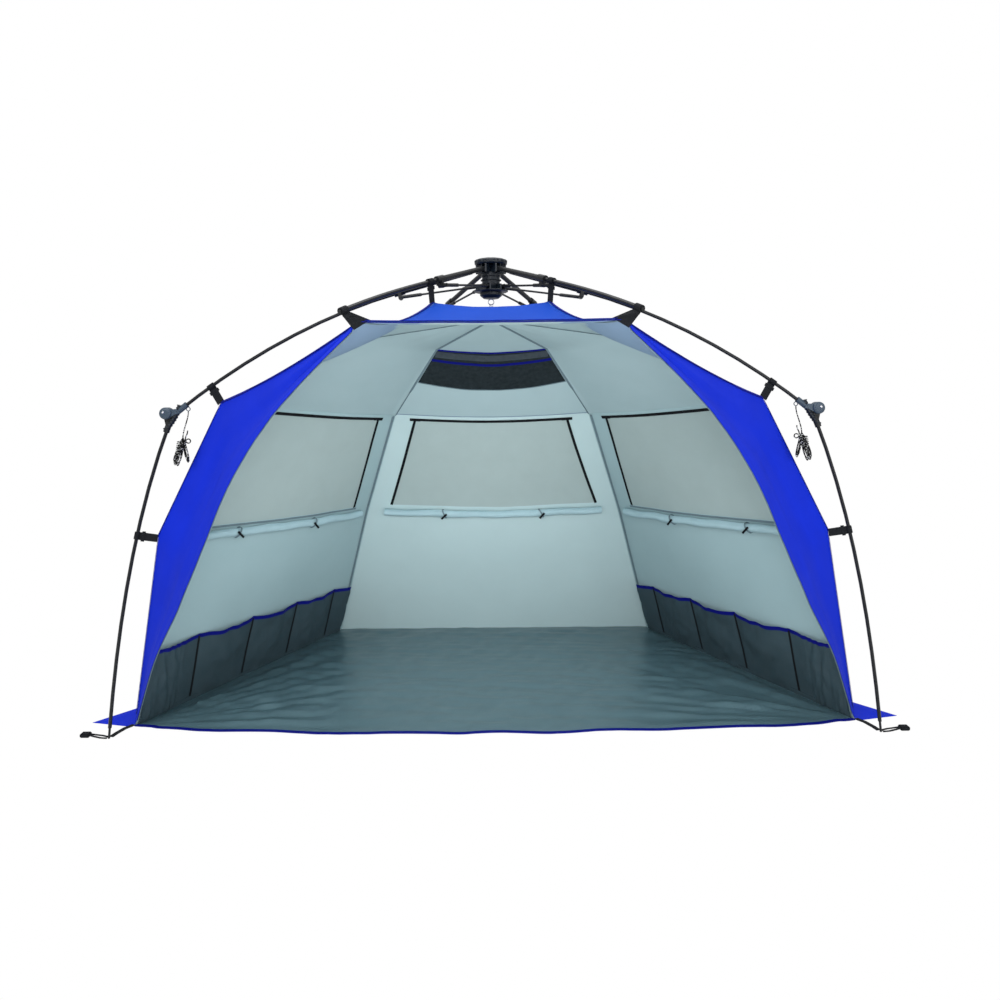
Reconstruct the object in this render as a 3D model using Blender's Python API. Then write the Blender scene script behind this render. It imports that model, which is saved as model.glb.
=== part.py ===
"""Instant beach tent: a folding six-arm frame over a half-hexagon canopy, open at the front."""
import math

import bmesh
import bpy
from mathutils import Matrix, Vector

for stray in list(bpy.data.objects):
    bpy.data.objects.remove(stray, do_unlink=True)

# Overall sizes, in metres. Plan places are shares of FOOT_RADIUS, heights are shares of HEIGHT.
FOOT_RADIUS = 1.22
HEIGHT = 1.47
HUB_SETBACK = 0.59
GAP = 0.0003

# Arms of the frame: azimuths in degrees, with zero at the right and the rear positive.
ARMS = {
    "side_right": 0, "rear_right": 60, "rear_left": 120,
    "side_left": 180, "front_left": 240, "front_right": 300,
}
ARM_SLOPE_DEG = 15.5
FOLD_DEG = 38.0
ELBOW_SHARES = {"side": (0.830, 0.691), "rear": (0.836, 0.680)}
FOOT_SHARES = {"side": 1.0, "rear": 1.086}
RIB_END_SHARES = (0.580, 0.8626)
ELBOW_SLOPE_DEG = 38.6
RIB_SLOPE_DEG = 21.5
LEG_TOP_DEG = 69.3
LEG_FOOT_DEG = 85.0
BEND_SHARE = 0.33

# Poles.
TUBE_R = 0.0078
POLE_R = 0.0055
TIP_R = 0.0036
TIP_L = 0.034
TIP_CHAMFER = 0.0015
POLE_SIDES = 8
POLE_STEPS = 9

# Hub, with its six forked slots.
HUB_PIVOT_R = 0.044
HUB_R = 0.0515
HUB_EAR = 0.0036
HUB_EAR_DEPTH = 0.030
HUB_EAR_TOP = 0.019
CORE_R = 0.024
COLUMN_R = 0.0285
COLUMN_L = 0.0345
RIB_R = 0.0330
RIB_HALF = 0.0013
CAP_R = 0.0530
CAP_L = 0.0105
CAP_LOBES = 12
CAP_LOBE_DEPTH = 0.0030
CAP_SHRINK = 0.0120
EYE_R = 0.0068
EYE_HALF = 0.0058
SLOT_CLEAR = 0.0005
PIN_R = 0.0020
PIN_CLEAR = 0.0003
TUBE_START = 0.0165

# Runner, the lower hub that slides along the tent's axis.
RUNNER_DROP = 0.054
RUNNER_PIVOT_R = 0.040
RUNNER_REACH = 0.0475
RUNNER_EAR = 0.0030
RUNNER_EAR_UP = 0.0068
RUNNER_FLANGE_DROP = 0.0105
RUNNER_FLANGE_R = 0.0540
RUNNER_FLANGE_L = 0.0050
CUP_R = 0.0350
CUP_END_R = 0.0240
CUP_L = 0.0200
SLEEVE_TOP = 0.0082
SLEEVE_R = 0.0300
RING_R = 0.0090
RING_WIRE = 0.0016
HANGER_W = 0.0140
HANGER_T = 0.0020

# Struts and the brackets that they reach.
BRACKET_AT = 0.255
BRACKET_R = 0.0105
BRACKET_L = 0.034
BRACKET_DROP = 0.018
BRACKET_EAR_R = 0.0072
BRACKET_BACK = 0.0050
STRUT_SLEEVE_R = 0.0055
STRUT_ROD_R = 0.0032
STRUT_IN_SLEEVE = 0.046
STRUT_OUT_SLEEVE = 0.064
STRUT_EYE_R = 0.0060
STRUT_GAP = 0.0004

# Elbows.
KNEE_SLEEVE_R = 0.0095
KNEE_OFFSET = 0.0145
KNEE_R = 0.0138
KNEE_CHEEK_IN = 0.0060
KNEE_TONGUE = 0.0055
KNEE_START = 0.0165
KNEE_UP_L = 0.062
KNEE_DOWN_L = 0.052
KNEE_PIN_R = 0.0030
KNEE_HOLE_R = 0.0036
RIVET_R = 0.0042
RIVET_L = 0.0012
GUY_RING_R = 0.0060
GUY_RING_WIRE = 0.0014

# Straps.
COLLAR_L = 0.022
COLLAR_WALL = 0.0032
WEB_W = 0.025
WEB_T = 0.0022
BEAM_WEB_W = 0.046
BUCKLE_T = 0.0036
BUCKLE_W = 0.032
BUCKLE_L = 0.010
STRAP_END_GAP = 0.0007
UPPER_STRAP_SHARES = {"side": 0.727, "rear": 0.640}
LOWER_STRAP_SHARES = {"side": 0.640, "rear": 0.600}
RIB_STRAP_SHARE = 0.276
TAPE_W = 0.026
TAPE_T = 0.0022
TAPE_TAIL = 0.052
TAPE_STARTS = {"side": 0.0205, "rear": 0.0228}
EYELET_R = 0.0041

# Canopy seams: plan x and y as shares of FOOT_RADIUS, height as a share of HEIGHT.
PEAK_SHARES = (0.0, 0.0, 0.8946)
SIDE_SEAM_SHARES = (
    (0.970, 0.077, 0.0), (0.867, 0.0, 0.4365), (0.702, 0.0, 0.7203), (0.300, 0.0, 0.8589),
)
REAR_SEAM_SHARES = (
    (0.580, 0.890, 0.0), (0.436, 0.672, 0.4033), (0.313, 0.482, 0.6838), (0.161, 0.248, 0.8456),
)
FRONT_SEAM_SHARES = ((0.252, -0.470, 0.844), (0.1335, -0.239, 0.9037))
DOOR_EDGE_SHARES = (
    (0.252, -0.470, 0.844), (0.398, -0.335, 0.762), (0.540, -0.220, 0.664), (0.632, -0.170, 0.545),
    (0.690, -0.135, 0.420), (0.762, -0.085, 0.300), (0.850, -0.020, 0.175), (0.970, 0.077, 0.0),
)
FOCUS_SHARES = (0.0, 0.45, 0.30)
SHEET_T = 0.0022
MESH_T = 0.0014
SEAM_INSET = 0.0002
MITRE_LIMIT = 0.3
EDGE_SAG = 0.014
WALL_SAG = 0.022
ROOF_SAG = 0.012
SIDE_COLUMN_SHARES = (0.0, 0.10, 0.29, 0.45, 0.62, 0.78, 0.92, 1.0)
EVEN_COLUMN_SHARES = (0.0, 0.11, 0.30, 0.50, 0.70, 0.89, 1.0)
WALL_ROW_SHARES = (0.0, 0.08, 0.235, 0.42, 0.595, 0.72, 0.85, 0.965, 1.0)
TOP_ROW_SHARES = (0.30, 0.65, 1.0)
SLOPE_ROW_SHARES = (0.235, 0.47, 0.735, 1.0)
WINDOW_ROWS = (4, 7)
SIDE_WINDOW_COLUMNS = (2, 6)
REAR_WINDOW_COLUMNS = (1, 5)
WALL_LIFT = 0.0004

# Floor, with a pegging flap at each front corner.
FLOOR_T = 0.003
FLOOR_MARGIN = 0.007
FRONT_BOW = 0.075
FLAP_TIP_SHARES = (1.075, 0.092)
FLAP_BACK_SHARE = 0.16

# Storage pockets and rolled window covers on the inside.
POCKET_BULGE = 0.014
POCKET_COUNT = 4
POCKET_T = 0.0016
POCKET_STEPS = 20
POCKET_EDGE_SHARE = 0.02
ROLL_R = 0.016
ROLL_ROW_SHARE = 0.567
ROLL_SHARES = {"side": (0.22, 0.95), "rear": (0.10, 0.90)}
ROLL_STEPS = 8
ROLL_GAPS = {"side": 0.0006, "rear": -0.0002}

# Guy lines, as hung in the photograph.
CORD_R = 0.0015
GUY_DROP = 0.082
HANK_LOOPS = 7
HANK_POINTS = 24
HANK_H = 0.038
HANK_W = 0.015
HANK_WAIST_SHARE = 0.45
HANK_PITCH = 0.0045
CORD_STEPS = 14
CORD_SWAY = 0.003
HANK_FORWARD = 0.034

BLACK = (0.012, 0.013, 0.016)
DARK_BLUE_GREY = (0.060, 0.095, 0.135)
BLUE = (0.012, 0.034, 0.580)
ROOF_BLUE = (0.030, 0.095, 0.760)
GREY = (0.36, 0.45, 0.50)
MESH_GREY = (0.33, 0.40, 0.41)
MESH_BLACK = (0.02, 0.02, 0.025)
SLATE = (0.10, 0.16, 0.20)
CHARCOAL = (0.05, 0.06, 0.07)

MATERIALS = {}


def material(name, color, rough, metal=0.0):
    if name not in MATERIALS:
        mat = bpy.data.materials.new(name)
        mat.use_nodes = True
        shader = mat.node_tree.nodes["Principled BSDF"]
        shader.inputs["Base Color"].default_value = (*color, 1.0)
        shader.inputs["Roughness"].default_value = rough
        shader.inputs["Metallic"].default_value = metal
        MATERIALS[name] = mat
    return MATERIALS[name]


def plan(shares):
    """A point from its plan shares and its height share."""
    x, y, z = shares
    return Vector((x * FOOT_RADIUS, y * FOOT_RADIUS - HUB_SETBACK, z * HEIGHT))


def mirror(p):
    return Vector((-p.x, p.y, p.z))


def arm_matrix(name):
    """Carries (along the arm, across it, up) at the tent's axis to the world."""
    turn = Matrix.Rotation(math.radians(ARMS[name]), 4, "Z")
    return Matrix.Translation((0, -HUB_SETBACK, 0)) @ turn


def mesh_object(name, bm):
    bmesh.ops.recalc_face_normals(bm, faces=bm.faces)
    mesh = bpy.data.meshes.new(name)
    bm.to_mesh(mesh)
    bm.free()
    obj = bpy.data.objects.new(name, mesh)
    bpy.context.scene.collection.objects.link(obj)
    return obj


def finish(obj, name, mat, pivot=None, turn=0.0):
    """Names a piece and puts its origin on its joint's axis, if it moves."""
    obj.name = name
    obj.data.name = name
    obj.data.materials.clear()
    obj.data.materials.append(mat)
    obj.data.shade_smooth()
    obj.data.set_sharp_from_angle(angle=math.radians(35))
    if pivot is not None:
        place = Matrix.Translation(pivot) @ Matrix.Rotation(math.radians(turn), 4, "Z")
        obj.data.transform(place.inverted())
        obj.matrix_world = place
    return obj


def rings_to_object(name, rings, closed=False):
    """Skins equal rings of points; open runs get flat caps."""
    bm = bmesh.new()
    loops = [[bm.verts.new(p) for p in ring] for ring in rings]
    count = len(loops[0])
    pairs = list(zip(loops, loops[1:]))
    if closed:
        pairs.append((loops[-1], loops[0]))
    for low, high in pairs:
        for i in range(count):
            j = (i + 1) % count
            bm.faces.new((low[i], low[j], high[j], high[i]))
    if not closed:
        bm.faces.new(list(reversed(loops[0])))
        bm.faces.new(loops[-1])
    return mesh_object(name, bm)


def circle(center, axis, across, radius, sides, phase=0.5):
    """A ring of points about axis; across fixes where it starts."""
    axis = Vector(axis).normalized()
    first = (Vector(across) - axis * Vector(across).dot(axis)).normalized()
    second = axis.cross(first)
    step = 2 * math.pi / sides
    return [
        center + radius * (first * math.cos((k + phase) * step) + second * math.sin((k + phase) * step))
        for k in range(sides)
    ]


def tube(name, path, radii, across, sides):
    """A tube along a path, with one radius for each point."""
    rings = []
    for k, point in enumerate(path):
        ahead = path[min(k + 1, len(path) - 1)] - path[max(k - 1, 0)]
        rings.append(circle(point, ahead, across, radii[k], sides))
    return rings_to_object(name, rings)


def rod(name, start, end, radius, across, sides=8):
    return tube(name, [Vector(start), Vector(end)], [radius, radius], across, sides)


def turned(name, profile, center, sides):
    """A solid of revolution about the upright axis from (radius, height) points."""
    rings = [circle(center + Vector((0, 0, z)), (0, 0, 1), (1, 0, 0), r, sides) for r, z in profile]
    return rings_to_object(name, rings)


def prism(name, outline, low, high, frame):
    """Extrudes a flat outline between two heights of a frame."""
    bottom = [frame @ Vector((x, y, low)) for x, y in outline]
    top = [frame @ Vector((x, y, high)) for x, y in outline]
    return rings_to_object(name, [bottom, top])


def torus(name, center, normal, across, major, minor, steps=14, sides=6):
    normal = Vector(normal).normalized()
    rings = []
    for point in circle(center, normal, across, major, steps):
        out = (point - center).normalized()
        rings.append(circle(point, out.cross(normal), out, minor, sides))
    return rings_to_object(name, rings, closed=True)


def combine(base, tools, operation):
    """Applies one exact Boolean after another and deletes the tools."""
    for tool in tools:
        mod = base.modifiers.new("join", "BOOLEAN")
        mod.operation = operation
        mod.solver = "EXACT"
        mod.object = tool
        graph = bpy.context.evaluated_depsgraph_get()
        mesh = bpy.data.meshes.new_from_object(base.evaluated_get(graph))
        base.modifiers.clear()
        base.data = mesh
        bpy.data.objects.remove(tool, do_unlink=True)
    return base


def join(base, *tools):
    return combine(base, tools, "UNION")


def cut(base, *tools):
    return combine(base, tools, "DIFFERENCE")


def bezier(start, lead, follow, end, steps):
    points = []
    for k in range(steps + 1):
        t = k / steps
        s = 1 - t
        points.append(start * s**3 + lead * 3 * s * s * t + follow * 3 * s * t * t + end * t**3)
    return points


def slope(degrees):
    """A unit step outward and down, in an arm's own plane."""
    turn = math.radians(degrees)
    return Vector((math.cos(turn), 0, -math.sin(turn)))


# The frame's fixed places, in an arm's own plane.
HUB_PIVOT = Vector((HUB_PIVOT_R, 0, HEIGHT))
BRACKET_POINT = HUB_PIVOT + slope(ARM_SLOPE_DEG) * BRACKET_AT
BRACKET_PIVOT = BRACKET_POINT + slope(ARM_SLOPE_DEG + 90) * BRACKET_DROP
RUNNER_PIVOT = Vector((RUNNER_PIVOT_R, 0, HEIGHT - RUNNER_DROP))
STRUT_SIDE = BRACKET_R + STRUT_GAP + STRUT_SLEEVE_R


def kind_of(arm):
    return arm.split("_")[0]


def elbow_point(kind):
    x, z = ELBOW_SHARES[kind]
    return Vector((x * FOOT_RADIUS, 0, z * HEIGHT))


def upper_path(kind):
    """The thin pole from the bracket to the elbow, or to the rib's end."""
    if kind == "front":
        end = Vector((RIB_END_SHARES[0] * FOOT_RADIUS, 0, RIB_END_SHARES[1] * HEIGHT))
        last = slope(RIB_SLOPE_DEG)
    else:
        end = elbow_point(kind)
        last = slope(ELBOW_SLOPE_DEG)
        end = end - last * KNEE_START
    run = (end - BRACKET_POINT).length * BEND_SHARE
    return bezier(BRACKET_POINT, BRACKET_POINT + slope(ARM_SLOPE_DEG) * run, end - last * run, end,
                  POLE_STEPS)


def lower_path(kind):
    """The lower leg from just under the elbow to the tip's shoulder."""
    top = elbow_point(kind)
    first = slope(LEG_TOP_DEG)
    last = slope(LEG_FOOT_DEG)
    start = top + first * KNEE_START
    foot = Vector((FOOT_SHARES[kind] * FOOT_RADIUS, 0, 0))
    end = foot - last * (TIP_L + POLE_R * math.cos(math.radians(LEG_FOOT_DEG)))
    run = (end - start).length * BEND_SHARE
    return bezier(start, start + first * run, end - last * run, end, POLE_STEPS), last


def point_at(path, test):
    """The first place on a path where test changes sign, and the path's direction there."""
    for a, b in zip(path, path[1:]):
        fa, fb = test(a), test(b)
        if fa * fb <= 0 and fa != fb:
            return a.lerp(b, fa / (fa - fb)), (b - a).normalized()
    return path[-1].copy(), (path[-1] - path[-2]).normalized()


def knee_pivot(kind):
    """The elbow's hinge, outside the poles, as far from both of their lines."""
    up = -slope(ELBOW_SLOPE_DEG)
    down = slope(LEG_TOP_DEG)
    inner = (up + down).normalized()
    half = math.acos(max(-1.0, min(1.0, up.dot(down)))) / 2
    return elbow_point(kind) - inner * (KNEE_OFFSET / math.sin(half))


def world(arm, point):
    return arm_matrix(arm) @ point


def across_of(arm):
    return arm_matrix(arm).to_3x3() @ Vector((0, 1, 0))


def star(slots_half, ear, reach, pivot_side):
    """The outline of six forked slots round a core, each shifted sideways by pivot_side."""
    low_out = pivot_side - slots_half - ear
    high_out = pivot_side + slots_half + ear
    turn = math.radians(60)
    corner_x = (high_out * math.cos(turn) - low_out) / math.sin(turn)
    corner = Vector((corner_x, high_out, 0))
    before = Matrix.Rotation(-turn, 4, "Z") @ corner
    core = CORE_R
    outline = []
    for k in range(6):
        spin = Matrix.Rotation(k * turn, 4, "Z")
        local = [
            before, Vector((reach - ear, low_out, 0)), Vector((reach, pivot_side - slots_half, 0)),
            Vector((core, pivot_side - slots_half, 0)), Vector((core, pivot_side + slots_half, 0)),
            Vector((reach, pivot_side + slots_half, 0)), Vector((reach - ear, high_out, 0)),
        ]
        outline += [spin @ p for p in local]
    return [(p.x, p.y) for p in outline]


# Hub and runner.


def build_hub():
    axis = Vector((0, -HUB_SETBACK, 0))
    frame = Matrix.Translation(axis)
    half = EYE_HALF + SLOT_CLEAR
    ears_low = HEIGHT + HUB_EAR_TOP - HUB_EAR_DEPTH
    ears_top = HEIGHT + HUB_EAR_TOP
    hub = prism("hub", star(half, HUB_EAR, HUB_R - HUB_EAR, 0), ears_low, ears_top, frame)
    plate = turned("plate", [(HUB_R - HUB_EAR, -HUB_EAR), (HUB_R, 0), (HUB_R, HUB_EAR)],
                   axis + Vector((0, 0, ears_top)), 24)
    low = ears_low - COLUMN_L
    profile = [(COLUMN_R - RIB_HALF, low), (COLUMN_R, low + RIB_HALF)]
    for share in (0.38, 0.75):
        mid = low + COLUMN_L * share
        profile += [(COLUMN_R, mid - 2 * RIB_HALF), (RIB_R, mid - RIB_HALF), (RIB_R, mid + RIB_HALF),
                    (COLUMN_R, mid + 2 * RIB_HALF)]
    profile += [(COLUMN_R, ears_low + RIB_HALF), (CORE_R - RIB_HALF, ears_low + 2 * RIB_HALF)]
    column = turned("column", profile, axis, 18)
    pins = []
    for arm in ARMS:
        side = across_of(arm) * (half + HUB_EAR - RIB_HALF / 2)
        at = world(arm, HUB_PIVOT)
        pins.append(rod("pin", at - side, at + side, PIN_R, (0, 0, 1)))
    hub = join(hub, plate, column, *pins)
    finish(hub, "upper_hub", material("hub plastic", BLACK, 0.45))
    cap_low = ears_top + HUB_EAR + GAP
    rings = []
    for share, lift in ((0.0, 0.0), (0.0, 0.45), (0.35, 0.80), (1.0, 1.0)):
        ring = []
        count = CAP_LOBES * 4
        for k in range(count):
            turn = 2 * math.pi * k / count
            lobe = CAP_LOBE_DEPTH * abs(math.sin(CAP_LOBES * turn / 2)) - CAP_LOBE_DEPTH
            r = CAP_R - CAP_SHRINK * share + lobe * (1 - share / 2)
            ring.append(axis + Vector((r * math.cos(turn), r * math.sin(turn), cap_low + CAP_L * lift)))
        rings.append(ring)
    cap = rings_to_object("cap", rings)
    finish(cap, "hub_cap", material("cap plastic", BLACK, 0.35))


def build_runner():
    axis = Vector((0, -HUB_SETBACK, 0))
    frame = Matrix.Translation(axis)
    level = RUNNER_PIVOT.z
    half = STRUT_SLEEVE_R + SLOT_CLEAR
    flange_top = level - RUNNER_FLANGE_DROP
    ears = prism("ears", star(half, RUNNER_EAR, RUNNER_REACH, STRUT_SIDE), flange_top - RUNNER_EAR,
                 level + RUNNER_EAR_UP, frame)
    cup_top = flange_top - RUNNER_FLANGE_L
    profile = [
        (CUP_END_R, cup_top - CUP_L), (CUP_R, cup_top - CUP_L * 0.55), (CUP_R, cup_top - RUNNER_EAR),
        (RUNNER_FLANGE_R - RUNNER_EAR, cup_top), (RUNNER_FLANGE_R, cup_top + RUNNER_EAR / 2),
        (RUNNER_FLANGE_R, flange_top - RUNNER_EAR / 2), (RUNNER_FLANGE_R - RUNNER_EAR / 2, flange_top),
    ]
    flange = turned("flange", profile, axis, 24)
    top = level + SLEEVE_TOP
    neck = turned("neck", [(CORE_R - GAP, flange_top - RUNNER_EAR), (CORE_R - GAP, top - 2 * RIB_HALF),
                           (SLEEVE_R, top - RIB_HALF), (SLEEVE_R, top)], axis, 18)
    pins = []
    for arm in ARMS:
        side = across_of(arm)
        at = world(arm, RUNNER_PIVOT) + side * STRUT_SIDE
        reach = side * (half + RUNNER_EAR - RIB_HALF / 2)
        pins.append(rod("pin", at - reach, at + reach, PIN_R, (0, 0, 1)))
    runner = join(ears, flange, neck, *pins)
    finish(runner, "runner", material("runner plastic", BLACK, 0.45), axis + Vector((0, 0, level)))
    ring_at = axis + Vector((0, 0, cup_top - CUP_L - GAP - RING_R - RING_WIRE))
    ring = torus("ring", ring_at, (0, 1, 0), (1, 0, 0), RING_R, RING_WIRE)
    peak = plan(PEAK_SHARES)
    low = peak.z + SHEET_T + GAP
    high = ring_at.z - RING_R
    web = prism("web", [(-HANGER_W / 2, -HANGER_T / 2), (HANGER_W / 2, -HANGER_T / 2),
                        (HANGER_W / 2, HANGER_T / 2), (-HANGER_W / 2, HANGER_T / 2)], low, high, frame)
    finish(join(ring, web), "peak_ring", material("ring steel", DARK_BLUE_GREY, 0.35, 0.8),
           axis + Vector((0, 0, level)))


# Arms, struts and legs.


def build_arm(arm):
    kind = kind_of(arm)
    side = across_of(arm)
    to = arm_matrix(arm)
    base = HUB_PIVOT + slope(ARM_SLOPE_DEG) * TUBE_START
    inner = BRACKET_POINT + slope(ARM_SLOPE_DEG) * (BRACKET_L / 2 - GAP)
    pole = rod("tube", to @ base, to @ inner, TUBE_R, side, 10)
    path = [to @ p for p in upper_path(kind)]
    thin = tube("thin", path, [POLE_R] * len(path), side, POLE_SIDES)
    eye_end = HUB_PIVOT + slope(ARM_SLOPE_DEG) * (TUBE_START + EYE_R)
    eye = rod("eye", to @ HUB_PIVOT - side * EYE_HALF, to @ HUB_PIVOT + side * EYE_HALF, EYE_R, (0, 0, 1), 12)
    down = slope(ARM_SLOPE_DEG + 90) * EYE_R * 0.8
    neck = bar("neck", to @ HUB_PIVOT, to @ eye_end, to.to_3x3() @ down, side * EYE_HALF)
    hole = rod("hole", to @ HUB_PIVOT - side * EYE_HALF * 2, to @ HUB_PIVOT + side * EYE_HALF * 2,
               PIN_R + PIN_CLEAR, (0, 0, 1))
    collar = rod("collar", to @ (BRACKET_POINT - slope(ARM_SLOPE_DEG) * BRACKET_L / 2),
                 to @ (BRACKET_POINT + slope(ARM_SLOPE_DEG) * BRACKET_L / 2), BRACKET_R, side, 12)
    at = to @ BRACKET_PIVOT
    ear = rod("ear", at - side * BRACKET_BACK, at + side * BRACKET_R, BRACKET_EAR_R, (0, 0, 1), 12)
    web = bar("web", to @ BRACKET_POINT, at, (to.to_3x3() @ slope(ARM_SLOPE_DEG)) * BRACKET_EAR_R,
              side * BRACKET_BACK)
    boss = bar("boss", to @ BRACKET_POINT, at, (to.to_3x3() @ slope(ARM_SLOPE_DEG)) * BRACKET_EAR_R * 0.7,
               side * (BRACKET_R - GAP))
    pole = join(pole, thin, eye, neck, collar, ear, web, boss)
    pole = cut(pole, hole)
    finish(pole, "upper_pole_" + arm, material("pole", BLACK, 0.40, 0.3), to @ HUB_PIVOT, ARMS[arm])


def bar(name, start, end, half_a, half_b):
    """A straight bar between two points with the two given half-widths."""
    corners = [half_a + half_b, half_b - half_a, -half_a - half_b, half_a - half_b]
    return rings_to_object(name, [[start + c for c in corners], [end + c for c in corners]])


def build_strut(arm):
    to = arm_matrix(arm)
    side = across_of(arm)
    shift = side * STRUT_SIDE
    start = to @ RUNNER_PIVOT + shift
    end = to @ BRACKET_PIVOT + shift
    along = (end - start).normalized()
    length = (end - start).length
    eye_clear = STRUT_EYE_R * 0.6
    far_sleeve = length - STRUT_OUT_SLEEVE
    marks = [eye_clear, STRUT_IN_SLEEVE, STRUT_IN_SLEEVE + STRUT_EYE_R, far_sleeve - STRUT_EYE_R,
             far_sleeve, length - eye_clear]
    radii = [STRUT_SLEEVE_R, STRUT_SLEEVE_R, STRUT_ROD_R, STRUT_ROD_R, STRUT_SLEEVE_R, STRUT_SLEEVE_R]
    body = tube("strut", [start + along * m for m in marks], radii, side, 8)
    eyes = []
    holes = []
    for at in (start, end):
        reach = side * STRUT_SLEEVE_R
        eyes.append(rod("eye", at - reach, at + reach, STRUT_EYE_R, (0, 0, 1), 10))
    through = side * EYE_R * 2
    holes.append(rod("hole", start - through, start + through, PIN_R + PIN_CLEAR, (0, 0, 1)))
    rivet = rod("rivet", end, end + side * (STRUT_SLEEVE_R + RIVET_L), RIVET_R * 0.8, (0, 0, 1))
    strut = cut(join(body, *eyes, rivet), *holes)
    finish(strut, "strut_" + arm, material("strut", BLACK, 0.40, 0.2), start, ARMS[arm])


def cheek_outline(center, sleeve_dir, kind):
    """The hinge disc and the plate that ties it to its sleeve, as a convex outline in the arm's plane."""
    inner = (elbow_point(kind) - center).normalized()
    foot = center + (elbow_point(kind) - center)
    points = []
    for k in range(14):
        turn = 2 * math.pi * k / 14
        points.append(Vector((math.cos(turn), 0, math.sin(turn))) * KNEE_R + center)
    far = foot + sleeve_dir * (KNEE_START + KNEE_R)
    outward = -(inner - sleeve_dir * inner.dot(sleeve_dir)).normalized()
    points.append(far + outward * KNEE_SLEEVE_R * 0.8)
    points.append(far - outward * KNEE_SLEEVE_R * 0.8)
    return hull(points)


def hull(points):
    """The convex outline of points in the arm's plane, in order."""
    flat = sorted({(round(p.x, 7), round(p.z, 7)) for p in points})

    def turn(o, a, b):
        return (a[0] - o[0]) * (b[1] - o[1]) - (a[1] - o[1]) * (b[0] - o[0])

    chains = []
    for order in (flat, list(reversed(flat))):
        chain = []
        for p in order:
            while len(chain) > 1 and turn(chain[-2], chain[-1], p) <= 0:
                chain.pop()
            chain.append(p)
        chains.append(chain[:-1])
    return [Vector((x, 0, z)) for x, z in chains[0] + chains[1]]


def plate(name, outline, to, low, high):
    """Extrudes an outline in the arm's plane across that plane."""
    return rings_to_object(name, [[to @ (p + Vector((0, low, 0))) for p in outline],
                                  [to @ (p + Vector((0, high, 0))) for p in outline]])


def build_elbow(arm):
    kind = kind_of(arm)
    to = arm_matrix(arm)
    side = across_of(arm)
    pivot = knee_pivot(kind)
    elbow = elbow_point(kind)
    up = -slope(ELBOW_SLOPE_DEG)
    down = slope(LEG_TOP_DEG)
    sleeve = rod("sleeve", to @ (elbow + up * (KNEE_START + GAP)), to @ (elbow + up * KNEE_UP_L),
                 KNEE_SLEEVE_R, side, 12)
    outline = cheek_outline(pivot, up, kind)
    cheeks = [plate("cheek", outline, to, KNEE_CHEEK_IN, BRACKET_R),
              plate("cheek", outline, to, -BRACKET_R, -KNEE_CHEEK_IN)]
    at = to @ pivot
    reach = side * (BRACKET_R + RIVET_L)
    pin = rod("pin", at - reach, at + reach, KNEE_PIN_R, (0, 0, 1))
    heads = [rod("head", at + side * s * BRACKET_R * 0.9, at + reach * s, RIVET_R, (0, 0, 1))
             for s in (1, -1)]
    parts = cheeks + [pin] + heads
    inner = slope(ELBOW_SLOPE_DEG + 90)
    ring_at = elbow + up * (KNEE_UP_L - GUY_RING_R) + inner * (KNEE_SLEEVE_R + GUY_RING_R * 0.75)
    if kind == "side":
        parts.append(torus("ring", to @ ring_at, side, (0, 0, 1), GUY_RING_R, GUY_RING_WIRE))
    knee = join(sleeve, *parts)
    bore_path = upper_path(kind)
    bore_r = (POLE_R + GAP) / math.cos(math.pi / POLE_SIDES)
    end = bore_path[-1]
    last = (bore_path[-1] - bore_path[-2]).normalized()
    path = [to @ p for p in bore_path[-4:-1]] + [to @ (end + last * GAP)]
    knee = cut(knee, tube("bore", path, [bore_r] * len(path), side, POLE_SIDES))
    finish(knee, "elbow_" + arm, material("elbow plastic", DARK_BLUE_GREY, 0.45), to @ HUB_PIVOT, ARMS[arm])

    lower, last = lower_path(kind)
    lower_sleeve = rod("sleeve", to @ (elbow + down * (KNEE_START + GAP)), to @ (elbow + down * KNEE_DOWN_L),
                       KNEE_SLEEVE_R, side, 12)
    tongue = plate("tongue", cheek_outline(pivot, down, kind), to, -KNEE_TONGUE, KNEE_TONGUE)
    hole = rod("hole", at - side * KNEE_R, at + side * KNEE_R, KNEE_HOLE_R, (0, 0, 1))
    leg = tube("leg", [to @ p for p in lower], [POLE_R] * len(lower), side, POLE_SIDES)
    shoulder = lower[-1] - last * POLE_R
    foot = Vector((FOOT_SHARES[kind] * FOOT_RADIUS, 0, 0))
    tip_end = foot + Vector((0, 0, TIP_R * math.cos(math.radians(LEG_FOOT_DEG))))
    tip_path = [shoulder, tip_end - last * TIP_CHAMFER, tip_end]
    tip = tube("tip", [to @ p for p in tip_path], [TIP_R, TIP_R, TIP_R - TIP_CHAMFER], side, 10)
    leg = cut(join(lower_sleeve, tongue, leg, tip), hole)
    finish(leg, "lower_leg_" + arm, material("pole", BLACK, 0.40, 0.3), at, ARMS[arm])


# Straps.


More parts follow.
